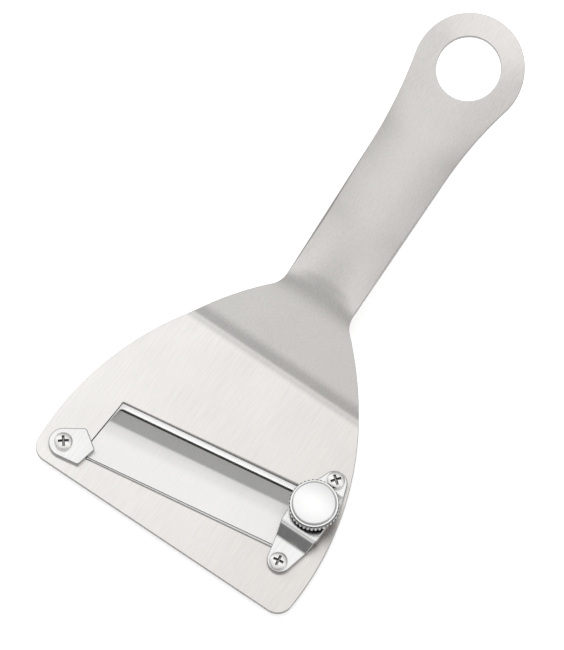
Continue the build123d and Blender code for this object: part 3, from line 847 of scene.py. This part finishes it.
def make_clip():
    reach, half_width = CLIP_SHOULDER
    spots = circle((0, 0), CLIP_END_RADIUS, STRAP_SPACING)
    for corner in ((reach, half_width), (reach, -half_width)):
        spots += circle(corner, CLIP_SHOULDER_RADIUS, SHOULDER_SPACING)
    spots += circle((CLIP_NOSE_REACH, 0), CLIP_NOSE_RADIUS, SMALL_CORNER_SPACING)
    sheet = Sheet(
        lambda x, y: 0 * x + STRAP_THICKNESS,
        STRAP_THICKNESS,
        place=lambda points: turned_plan(points, CLIP_SCREW, CLIP_ANGLE),
    )
    low = (-CLIP_END_RADIUS, -half_width - CLIP_GRID_BESIDE)
    high = (CLIP_NOSE_REACH + CLIP_GRID_BEYOND, half_width + CLIP_GRID_BESIDE)
    holes = [((0, 0), STRAP_HOLE_RADIUS)]
    outline = hull(spots, STRAP_SPACING)
    return make_strap("clip_plate", "blade_clip", sheet, outline, holes, even_grid(low, high, CLIP_GRID))


FOOT_RADIUS = 4.25
FOOT_SETBACK = 0.8
PLATFORM_WIDTH = 14.0
PLATFORM_CORNER_RADIUS = 0.8
PLATFORM_BEFORE = 9.5
PLATFORM_BEYOND = 5.5
PLATFORM_RISE = 4.0
NEAR_RAMP_RUN = 4.2
FAR_RAMP_RUN = 3.6
BRIDGE_BEND_RADIUS = 0.9
BRIDGE_SLOPE_STEP = 0.06
STUD_HOLE_RADIUS = 2.08
# How far the bridge's line and its grid go beyond the screws
BRIDGE_LINE_BEYOND = 12
BRIDGE_GRID_BEYOND = 6
BRIDGE_COLUMNS = 0.45
BRIDGE_ROWS = 0.3


def make_bridge():
    start, end = ADJUSTER_Y - PLATFORM_BEFORE, ADJUSTER_Y + PLATFORM_BEYOND
    top = STRAP_THICKNESS + PLATFORM_RISE
    outer = STRAP_THICKNESS + BRIDGE_BEND_RADIUS
    bent = bent_line(
        [
            (NEAR_SCREW[1] - BRIDGE_LINE_BEYOND, STRAP_THICKNESS),
            (start - NEAR_RAMP_RUN, STRAP_THICKNESS),
            (start, top),
            (end, top),
            (end + FAR_RAMP_RUN, STRAP_THICKNESS),
            (FAR_SCREW[1] + BRIDGE_LINE_BEYOND, STRAP_THICKNESS),
        ],
        [BRIDGE_BEND_RADIUS, outer, outer, BRIDGE_BEND_RADIUS],
    )
    half = PLATFORM_WIDTH / 2
    inner = half - PLATFORM_CORNER_RADIUS
    spots = circle((ADJUSTER_X, NEAR_SCREW[1] + FOOT_SETBACK), FOOT_RADIUS, STRAP_SPACING)
    spots += circle((ADJUSTER_X, FAR_SCREW[1] - FOOT_SETBACK), FOOT_RADIUS, STRAP_SPACING)
    for sx in (-1, 1):
        for y in (start + PLATFORM_CORNER_RADIUS, end - PLATFORM_CORNER_RADIUS):
            spots += circle((ADJUSTER_X + sx * inner, y), PLATFORM_CORNER_RADIUS, SMALL_CORNER_SPACING)
    holes = [((ADJUSTER_X, ADJUSTER_Y), STUD_HOLE_RADIUS)]
    holes += [(place, STRAP_HOLE_RADIUS) for place in (NEAR_SCREW, FAR_SCREW)]
    low = (ADJUSTER_X - half, NEAR_SCREW[1] - BRIDGE_GRID_BEYOND)
    high = (ADJUSTER_X + half, FAR_SCREW[1] + BRIDGE_GRID_BEYOND)
    grid = even_grid(low, high, BRIDGE_COLUMNS, BRIDGE_ROWS)
    sheet = Sheet(lambda x, y: bent(y) + 0 * x, STRAP_THICKNESS, BRIDGE_SLOPE_STEP)
    return make_strap("bridge_strap", "adjuster_bridge", sheet, hull(spots, STRAP_SPACING), holes, grid)


# Turned pieces


def turned_mesh(profile, count, centre, trim=None):
    """A closed turned shape from (radius, height) pairs, first and last on the axis.

    trim gives the radius to which the shape is cut away at an angle.
    """
    points, rows, faces = [], [], []
    for radius, height in profile:
        if radius == 0:
            rows.append([len(points)] * count)
            points.append((*centre, height))
            continue
        rows.append(range(len(points), len(points) + count))
        for i in range(count):
            angle = 2 * pi * i / count
            reach = min(radius, trim(angle)) if trim else radius
            points.append((centre[0] + reach * cos(angle), centre[1] + reach * sin(angle), height))
    for above, below in zip(rows, rows[1:]):
        for i in range(count):
            j = (i + 1) % count
            # Each corner once, in this order
            faces.append(tuple(dict.fromkeys((above[i], below[i], below[j], above[j]))))
    return points, faces


KNOB_RADIUS = 8.4
KNOB_CAP_RADIUS = 7.5
HUB_RADIUS = 4.6
HUB_BOTTOM = 6.55
SKIRT_BOTTOM = 8.5
SKIRT_TOP = 12.35
CAP_EDGE = 13.45
KNOB_TOP = 13.9
STUD_RADIUS = 2.0
STUD_TOP = 11.55
KNOB_CHAMFER = 0.4
# The skirt's chamfers run into its side and faces in small steps
CHAMFER_INSET = 0.04
CHAMFER_REACH = 0.06
CHAMFER_DROP = 0.03
HUB_CHAMFER = 0.1
CAP_ROUNDING = 0.8
CAP_ROUNDING_STEPS = 6
DOME_STEPS = 12
CAP_STEP_SHADE = 0.45
KNURL_COUNT = 38
KNURL_RADIUS = 0.45
KNURL_DEPTH = 0.35
KNURL_SAMPLES = 14
# The grooves get painted shade from this far below the skirt's side, fully so after the second distance
GROOVE_START = 0.05
GROOVE_BLEND = 0.2
LEVEL_MARGIN = 0.01


def make_knob():
    centre = KNOB_RADIUS + KNURL_RADIUS - KNURL_DEPTH
    pitch = 2 * pi / KNURL_COUNT

    def groove(angle):
        """Radius to which the knurl's grooves cut at an angle."""
        off = (angle + pitch / 2) % pitch - pitch / 2
        inside_root = KNURL_RADIUS**2 - (centre * sin(off)) ** 2
        return centre * cos(off) - sqrt(inside_root) if inside_root > 0 else 2 * KNOB_RADIUS

    dome_base = KNOB_CAP_RADIUS - CAP_ROUNDING
    rise = KNOB_TOP - CAP_EDGE
    dome_radius = (dome_base**2 + rise**2) / (2 * rise)
    chamfered = KNOB_RADIUS - KNOB_CHAMFER
    low, high = SKIRT_BOTTOM + KNOB_CHAMFER, SKIRT_TOP - KNOB_CHAMFER
    profile = [
        (0, STUD_TOP),
        (STUD_RADIUS, STUD_TOP),
        (STUD_RADIUS, HUB_BOTTOM),
        (HUB_RADIUS - HUB_CHAMFER, HUB_BOTTOM),
        (HUB_RADIUS, HUB_BOTTOM + HUB_CHAMFER),
        (HUB_RADIUS, SKIRT_BOTTOM),
        (chamfered, SKIRT_BOTTOM),
        (KNOB_RADIUS - CHAMFER_INSET, low - CHAMFER_INSET),
        (KNOB_RADIUS, low + CHAMFER_REACH),
        (KNOB_RADIUS, high - CHAMFER_REACH),
        (KNOB_RADIUS - CHAMFER_INSET, high + CHAMFER_INSET),
        (chamfered + CHAMFER_INSET, SKIRT_TOP - CHAMFER_DROP),
        (chamfered - CHAMFER_REACH, SKIRT_TOP),
        (KNOB_CAP_RADIUS, SKIRT_TOP),
    ]
    for i in range(CAP_ROUNDING_STEPS + 1):
        turn = radians(90 * i / CAP_ROUNDING_STEPS)
        edge_low = CAP_EDGE - CAP_ROUNDING
        profile.append((dome_base + CAP_ROUNDING * cos(turn), edge_low + CAP_ROUNDING * sin(turn)))
    for i in range(DOME_STEPS - 1, -1, -1):
        r = dome_base * i / DOME_STEPS
        profile.append((r, KNOB_TOP - dome_radius + sqrt(dome_radius**2 - r**2)))
    points, faces = turned_mesh(profile[::-1], KNURL_COUNT * KNURL_SAMPLES, (ADJUSTER_X, ADJUSTER_Y), groove)
    piece = new_piece("knob", points, faces, "thumb_screw", "adjuster_knob")
    smooth_by_faces(piece, KNOB_SMOOTHING)
    x, y, z = face_places(piece)[0].T
    reach = np.hypot(x - ADJUSTER_X, y - ADJUSTER_Y)
    skirt = (z > SKIRT_BOTTOM) & (z < SKIRT_TOP - LEVEL_MARGIN)
    # Painted shade in the knurl's grooves
    shares = np.where(skirt, np.clip((KNOB_RADIUS - GROOVE_START - reach) / GROOVE_BLEND, 0, 1), 0)
    # Painted shade on the flat underside, dark under the knob, and on the step between the skirt and the cap
    shares[z <= SKIRT_BOTTOM + LEVEL_MARGIN] = 1
    shares[(z > SKIRT_TOP + LEVEL_MARGIN) & (reach > KNOB_CAP_RADIUS - CAP_ROUNDING / 3)] = CAP_STEP_SHADE
    paint_shade(piece, shares)
    return piece


SCREW_HEAD_RADIUS = 3.05
SCREW_HEAD_HEIGHT = 2.0
SCREW_HEAD_RIM = 1.3
SCREW_RADIUS = 1.5
SCREW_CHAMFER = 0.15
SCREW_HEAD_CHAMFER = 0.1
SCREW_SIDES = 64
SCREW_DOME_ANGLES = range(8, 81, 8)
RECESS_LENGTH = 3.7
RECESS_WIDTH = 0.95
RECESS_DEPTH = 1.35
RECESS_TAPER = radians(12.0)
RECESS_ABOVE = 0.3
# A face this far below the head's surface belongs to the recess
RECESS_MARGIN = 0.1
CLIP_SCREW_TURN = 38
NEAR_SCREW_TURN = 8
FAR_SCREW_TURN = 52


def screw_mesh(place):
    seat = STRAP_THICKNESS
    edge = seat + SCREW_HEAD_RIM
    dome_rise = SCREW_HEAD_HEIGHT - SCREW_HEAD_RIM
    profile = [
        (0, -PLATE_THICKNESS),
        (SCREW_RADIUS - SCREW_CHAMFER, -PLATE_THICKNESS),
        (SCREW_RADIUS, -PLATE_THICKNESS + SCREW_CHAMFER),
        (SCREW_RADIUS, seat),
        (SCREW_HEAD_RADIUS - SCREW_HEAD_CHAMFER, seat),
        (SCREW_HEAD_RADIUS, seat + SCREW_HEAD_CHAMFER),
        (SCREW_HEAD_RADIUS, edge),
    ]
    for a in SCREW_DOME_ANGLES:
        profile.append((SCREW_HEAD_RADIUS * cos(radians(a)), edge + dome_rise * sin(radians(a))))
    profile.append((0, seat + SCREW_HEAD_HEIGHT))
    return turned_mesh(profile[::-1], SCREW_SIDES, place)


def recess_mesh(place, turn):
    """Cross-shaped recess with tapered walls, a little taller than the head."""
    top = STRAP_THICKNESS + SCREW_HEAD_HEIGHT
    t = radians(turn)
    points = []
    for z in (top + RECESS_ABOVE, top - RECESS_DEPTH):
        shrink = (top - z) * tan(RECESS_TAPER)
        half_length, half_width = RECESS_LENGTH / 2 - shrink, RECESS_WIDTH / 2 - shrink
        for quarter_turn in range(4):
            a = pi / 2 * quarter_turn
            for p, q in ((half_length, -half_width), (half_length, half_width), (half_width, half_width)):
                u, v = p * cos(a) - q * sin(a), p * sin(a) + q * cos(a)
                points.append((place[0] + u * cos(t) - v * sin(t), place[1] + u * sin(t) + v * cos(t), z))
    count = len(points) // 2
    faces = [tuple(range(count)), tuple(range(2 * count - 1, count - 1, -1))]
    faces += [(i, i + count, (i + 1) % count + count, (i + 1) % count) for i in range(count)]
    return points, faces


def make_screws(name, places, node):
    points, faces = [], []
    for place, _ in places:
        more, more_faces = screw_mesh(place)
        faces += [tuple(v + len(points) for v in face) for face in more_faces]
        points += more
    piece = new_piece(name, points, faces, "frame", node)
    for place, turn in places:
        cut_away(piece, *recess_mesh(place, turn))
    smooth_by_faces(piece, SCREW_SMOOTHING)
    # Painted shade in the cross recesses, whose faces lie below the head's surface
    x, y, z = face_places(piece)[0].T
    shares = np.zeros(len(z))
    for place, _ in places:
        reach = np.hypot(x - place[0], y - place[1]) / SCREW_HEAD_RADIUS
        dome = np.sqrt(np.clip(1 - reach**2, 0, 1)) * (SCREW_HEAD_HEIGHT - SCREW_HEAD_RIM)
        surface = STRAP_THICKNESS + SCREW_HEAD_RIM + dome
        shares[(reach < RECESS_LENGTH / 2 / SCREW_HEAD_RADIUS) & (z < surface - RECESS_MARGIN)] = 1
    paint_shade(piece, shares)
    return piece


body_sheet = make_body()
blade_strip = make_blade()
clip_plate = make_clip()
bridge_strap = make_bridge()
knob = make_knob()
screw_of_clip = make_screws("screw_of_clip", [(CLIP_SCREW, CLIP_SCREW_TURN)], "clip_screw")
bridge_turns = [(NEAR_SCREW, NEAR_SCREW_TURN), (FAR_SCREW, FAR_SCREW_TURN)]
screws_of_bridge = make_screws("screws_of_bridge", bridge_turns, "bridge_screws")

# Materials

BROAD_SCALE = 45.0
NOISE_DETAIL = 3.0
FINE_SHARE = 0.6
BROAD_SHARE = 0.4
# The fade, a painted light falloff, takes this much more of green and of blue than of red, which warms the
# right side
FADE_GREEN = 1.25
FADE_BLUE = 1.4
FADE_REACH = 0.05
BUMP_DISTANCE = 0.0002
GRAIN_MAP_SCALE = 10


def feed(tree, node, inputs):
    """Fills inputs of a shader node, by name or number, by a link from an output or else by a value."""
    for socket, given in inputs.items():
        if isinstance(given, bpy.types.NodeSocket):
            tree.links.new(given, node.inputs[socket])
        else:
            node.inputs[socket].default_value = given
    return node


def add_node(tree, kind, inputs={}):
    return feed(tree, tree.nodes.new("ShaderNode" + kind), inputs)


def add_math(tree, operation, inputs):
    node = add_node(tree, "Math")
    node.operation = operation
    return feed(tree, node, inputs).outputs[0]


def add_mix(tree, inputs, blend="MIX"):
    """A mix of two colours."""
    node = add_node(tree, "Mix")
    node.data_type = "RGBA"
    node.blend_type = blend
    return feed(tree, node, inputs).outputs["Result"]


def rgba(colour, share=1):
    return (*[c * share for c in colour], 1)


def lay_grain(piece):
    """Flat map of a piece, whose first direction lies across the tool and its grain."""
    mesh = piece.data
    x, y, z = values_of(mesh.vertices, "co", 3)[values_of(mesh.loops, "vertex_index", kind=int)].T
    flat = mesh.uv_layers.new(name="grain")
    flat.data.foreach_set("uv", np.stack((x + z / 3, y + z / 5), axis=1).ravel() * GRAIN_MAP_SCALE)


def metal(
    name, colour, roughness, grain=(1, 1, 1), grain_scale=900, colour_change=0.05, rough_change=0.08,
    bump=0.02, brushed=0, edge=1.0, fade=0.0,
):
    """Bare metal with a procedural grain: grain gives how much the pattern is drawn out along each axis.

    brushed is how much more the metal scatters light across its grain than along it, edge is the colour
    of its faces with painted shade as a share of the rest, and fade is the painted light falloff that
    makes its right side darker and warmer.
    """
    material = bpy.data.materials.new(name)
    material.use_nodes = True
    tree = material.node_tree
    shader = feed(tree, tree.nodes["Principled BSDF"], {"Metallic": 1.0})
    place = add_node(tree, "TexCoord").outputs["Object"]
    drawn = add_node(tree, "Mapping", {"Vector": place, "Scale": grain}).outputs["Vector"]
    fine, broad = (
        add_node(tree, "TexNoise", {"Vector": at, "Scale": scale, "Detail": NOISE_DETAIL}).outputs["Fac"]
        for at, scale in ((drawn, grain_scale), (place, BROAD_SCALE))
    )
    broad_part = add_math(tree, "MULTIPLY", {0: broad, 1: BROAD_SHARE})
    pattern = add_math(tree, "MULTIPLY_ADD", {0: fine, 1: FINE_SHARE, 2: broad_part})
    lightest = rgba([min(1, c * (1 + colour_change)) for c in colour])
    tint = add_mix(tree, {"Factor": pattern, "A": rgba(colour, 1 - colour_change), "B": lightest})
    # Painted light falloff: lighter at the left of the piece, darker and warmer at its right
    x = add_node(tree, "SeparateXYZ", {0: place}).outputs["X"]
    side = add_node(tree, "MapRange", {"Value": x, "From Min": -FADE_REACH, "From Max": FADE_REACH})
    right = rgba((1 - fade, 1 - fade * FADE_GREEN, 1 - fade * FADE_BLUE))
    faded = add_mix(tree, {"Factor": side.outputs["Result"], "A": rgba([1 + fade] * 3), "B": right})
    shaded = add_mix(tree, {"Factor": 1.0, "A": tint, "B": faded}, "MULTIPLY")
    # Painted shade: faces marked with shade take the edge share of the colour
    shade_mask = add_node(tree, "Attribute")
    shade_mask.attribute_name = "painted_shade"
    with_painted_shade = add_mix(tree, {"Factor": shade_mask.outputs["Fac"], "A": shaded, "B": rgba(colour, edge)})
    ends = {"To Min": roughness - rough_change, "To Max": roughness + rough_change}
    rough = add_node(tree, "MapRange", {"Value": pattern, **ends}).outputs["Result"]
    relief = add_node(tree, "Bump", {"Height": fine, "Strength": bump, "Distance": BUMP_DISTANCE})
    feed(tree, shader, {"Base Color": with_painted_shade, "Roughness": rough, "Normal": relief.outputs["Normal"]})
    if brushed:
        tangent = add_node(tree, "Tangent")
        tangent.direction_type = "UV_MAP"
        tangent.uv_map = "grain"
        feed(tree, shader, {"Anisotropic": brushed, "Tangent": tangent.outputs["Tangent"]})
    return material


# In these materials edge is the share of colour left under painted shade, and fade the painted light falloff
brushed_steel = metal(
    "brushed_sheet", (0.80, 0.782, 0.762), 0.26, grain=(1, 0.04, 1), grain_scale=2400, colour_change=0.2,
    rough_change=0.05, bump=0.008, brushed=0.8, edge=0.72, fade=0.065,
)
ground_steel = metal(
    "ground_blade", (0.83, 0.825, 0.815), 0.26, grain=(1, 0.05, 1), grain_scale=2400, colour_change=0.13,
    rough_change=0.05, bump=0.008, brushed=0.8, edge=0.22, fade=0.01,
)
polished = metal(
    "polished_strap", (0.89, 0.885, 0.875), 0.18, grain=(1, 0.05, 0.05), grain_scale=2200,
    colour_change=0.30, rough_change=0.05, bump=0.03, edge=0.35,
)
zinc = metal("bright_screw", (0.95, 0.935, 0.91), 0.16, rough_change=0.06, bump=0.03, edge=0.26)
chrome = metal("satin_knob", (0.92, 0.92, 0.915), 0.18, colour_change=0.02, rough_change=0.05, edge=0.14)
turned_grain = {"grain": (1, 1, 6), "grain_scale": 700, "colour_change": 0.08, "bump": 0.05}
turned_steel = metal("turned_stud", (0.66, 0.655, 0.64), 0.3, **turned_grain)
brass = metal("turned_brass", (0.74, 0.58, 0.30), 0.3, **turned_grain)
spring = metal("spring_steel", (0.30, 0.29, 0.28), 0.35, grain_scale=700, colour_change=0.1, bump=0.05)

made = (
    (body_sheet, brushed_steel),
    (blade_strip, ground_steel),
    (clip_plate, polished),
    (bridge_strap, polished),
    (knob, chrome),
    (screw_of_clip, zinc),
    (screws_of_bridge, zinc),
)
kept = (
    (nodes["thrust_washer"], brass),
    (nodes["adjuster_stud"], turned_steel),
    (nodes["retaining_ring"], spring),
    (nodes["lift_nut"], brass),
)
for piece, material in made + kept:
    piece.data.materials.clear()
    piece.data.materials.append(material)
for piece, _ in made:
    lay_grain(piece)

# Camera: the photograph's view from far off, with a long lens

MM_PER_PIXEL = 0.3295
PHOTO_WIDTH = 564
VIEW_RIGHT = Vector((0.8227, 0.5684, 0)).normalized()
VIEW_UP = Vector((-0.5486, 0.7939, 0.2622)).normalized()
VIEW_BACK = VIEW_RIGHT.cross(VIEW_UP).normalized()
VIEW_UP = VIEW_BACK.cross(VIEW_RIGHT)
# The middle of the view, half-way up between the head and the handle's end
VIEW_MIDDLE = (-6.35, 82.6, 0)
VIEW_LIFT = 0.02
LOOK_AT = Vector(to_frame([VIEW_MIDDLE])[0]) + VIEW_BACK * VIEW_LIFT
CAMERA_DISTANCE = 7.0
SENSOR_WIDTH = 36.0
camera_data = bpy.data.cameras.new("camera")
camera_data.sensor_fit = "HORIZONTAL"
camera_data.sensor_width = SENSOR_WIDTH
camera_data.lens = SENSOR_WIDTH * CAMERA_DISTANCE / (PHOTO_WIDTH * MM_PER_PIXEL * MM)
camera_data.clip_end = 2 * CAMERA_DISTANCE
camera = add_object("camera", camera_data)
camera_axes = Matrix((VIEW_RIGHT, VIEW_UP, VIEW_BACK)).transposed().to_4x4()
camera.matrix_world = Matrix.Translation(LOOK_AT + VIEW_BACK * CAMERA_DISTANCE) @ camera_axes
bpy.context.scene.camera = camera

# Studio: a world whose brightness changes with the angle, one large soft lamp and a pale floor.
# Only camera rays see the background as white; metal reflects the world and the floor without its glow.

# Light of the studio by angle from overhead: towards the tool's front, then towards its right
STUDIO_FRONT = [
    (-120, 0.10), (-88, 0.62), (-68, 0.64), (-54, 0.45), (-48, 0.43), (-42, 0.52), (-35, 0.70), (-28, 0.87),
    (-21, 1.03), (-16, 1.14), (-10, 1.18), (1, 1.06), (5, 0.92), (9, 0.87), (13, 0.86), (16, 0.93),
    (18.5, 1.03), (19.6, 0.99), (21, 0.88), (22.5, 0.78), (24, 0.64), (27, 0.51), (31, 0.49), (34, 0.58),
    (37, 0.80), (41, 0.87), (50, 0.86), (60, 0.42), (72, 0.22), (90, 0.15), (120, 0.40),
]
STUDIO_RIGHT = [
    (-90, 0.65), (-70, 0.75), (-55, 0.82), (-42, 0.87), (-34, 0.87), (-25, 0.90), (-17, 0.95), (-9, 0.98),
    (-1, 0.95), (8, 0.87), (16, 0.81), (24, 0.79), (36, 0.80), (60, 0.62), (90, 0.50),
]
# Colours of a ramp go up to 1, so the front's are shares of this and the world's strength makes up for it
BRIGHTEST = 2.0
SOFTBOX_SIZE = 1.2
SOFTBOX_POWER = 9.0
SOFTBOX_PLACE = (-0.5, 0.5, 1.2)
FLOOR_HALF = 3.0
PAPER_COLOUR = (0.9, 0.9, 0.9, 1)
PAPER_ROUGHNESS = 0.9
PAPER_GLOW = 0.55


def light_ramp(tree, across, levels, brightest):
    """Brightness by the angle of a direction from overhead, measured towards one side."""
    direction = add_node(tree, "TexCoord").outputs["Generated"]
    split = add_node(tree, "SeparateXYZ", {0: direction}).outputs
    side = add_math(tree, "MULTIPLY", {0: split[across], 1: -1 if across == "Y" else 1})
    height = add_math(tree, "ADD" if across == "Y" else "ABSOLUTE", {0: split["Z"], 1: 0})
    angle = add_math(tree, "ARCTAN2", {0: side, 1: height})
    span = add_node(tree, "MapRange", {"Value": angle, "From Min": -pi, "From Max": pi})
    ramp = add_node(tree, "ValToRGB", {"Fac": span.outputs["Result"]})
    elements = ramp.color_ramp.elements
    while len(elements) < len(levels):
        elements.new(0.5)
    for element, (at, _) in zip(elements, levels):
        element.position = (at + 180) / 360
    for element, (_, level) in zip(elements, levels):
        element.color = (*[level / brightest] * 3, 1)
    return ramp.outputs["Color"]


def by_ray(tree, for_others, for_camera):
    """A mix of two shaders: one for rays from the camera and one for all others."""
    rays = add_node(tree, "LightPath").outputs["Is Camera Ray"]
    return add_node(tree, "MixShader", {"Fac": rays, 1: for_others, 2: for_camera}).outputs[0]


def make_world():
    world = bpy.data.worlds.new("studio")
    world.use_nodes = True
    tree = world.node_tree
    tree.nodes.clear()
    front, right = light_ramp(tree, "Y", STUDIO_FRONT, BRIGHTEST), light_ramp(tree, "X", STUDIO_RIGHT, 1)
    level = add_mix(tree, {"Factor": 1.0, "A": front, "B": right}, "MULTIPLY")
    light = add_node(tree, "Background", {"Color": level, "Strength": BRIGHTEST}).outputs[0]
    white = add_node(tree, "Background", {"Color": (1, 1, 1, 1), "Strength": 1.0}).outputs[0]
    add_node(tree, "OutputWorld", {"Surface": by_ray(tree, light, white)})
    return world


def make_paper():
    paper = bpy.data.materials.new("paper")
    paper.use_nodes = True
    tree = paper.node_tree
    matt = {"Base Color": PAPER_COLOUR, "Roughness": PAPER_ROUGHNESS}
    shader = feed(tree, tree.nodes["Principled BSDF"], matt).outputs[0]
    glow = add_node(tree, "Emission", {"Strength": PAPER_GLOW}).outputs[0]
    glowing = add_node(tree, "AddShader", {0: shader, 1: glow}).outputs[0]
    feed(tree, tree.nodes["Material Output"], {"Surface": by_ray(tree, shader, glowing)})
    return paper


bpy.context.scene.world = make_world()

lamp_data = bpy.data.lights.new("softbox", "AREA")
lamp_data.shape = "RECTANGLE"
lamp_data.size = lamp_data.size_y = SOFTBOX_SIZE
lamp_data.energy = SOFTBOX_POWER
lamp = add_object("softbox", lamp_data)
lamp.location = SOFTBOX_PLACE
lamp.rotation_euler = (-lamp.location).to_track_quat("-Z", "Y").to_euler()
lamp.visible_glossy = False

floor_corners = [(x * FLOOR_HALF, y * FLOOR_HALF, 0) for x, y in ((-1, -1), (1, -1), (1, 1), (-1, 1))]
floor_mesh = bpy.data.meshes.new("floor")
floor_mesh.from_pydata(floor_corners, [], [(0, 1, 2, 3)])
floor = add_object("floor", floor_mesh)
floor_mesh.materials.append(make_paper())

bpy.context.scene.view_settings.view_transform = "Standard"
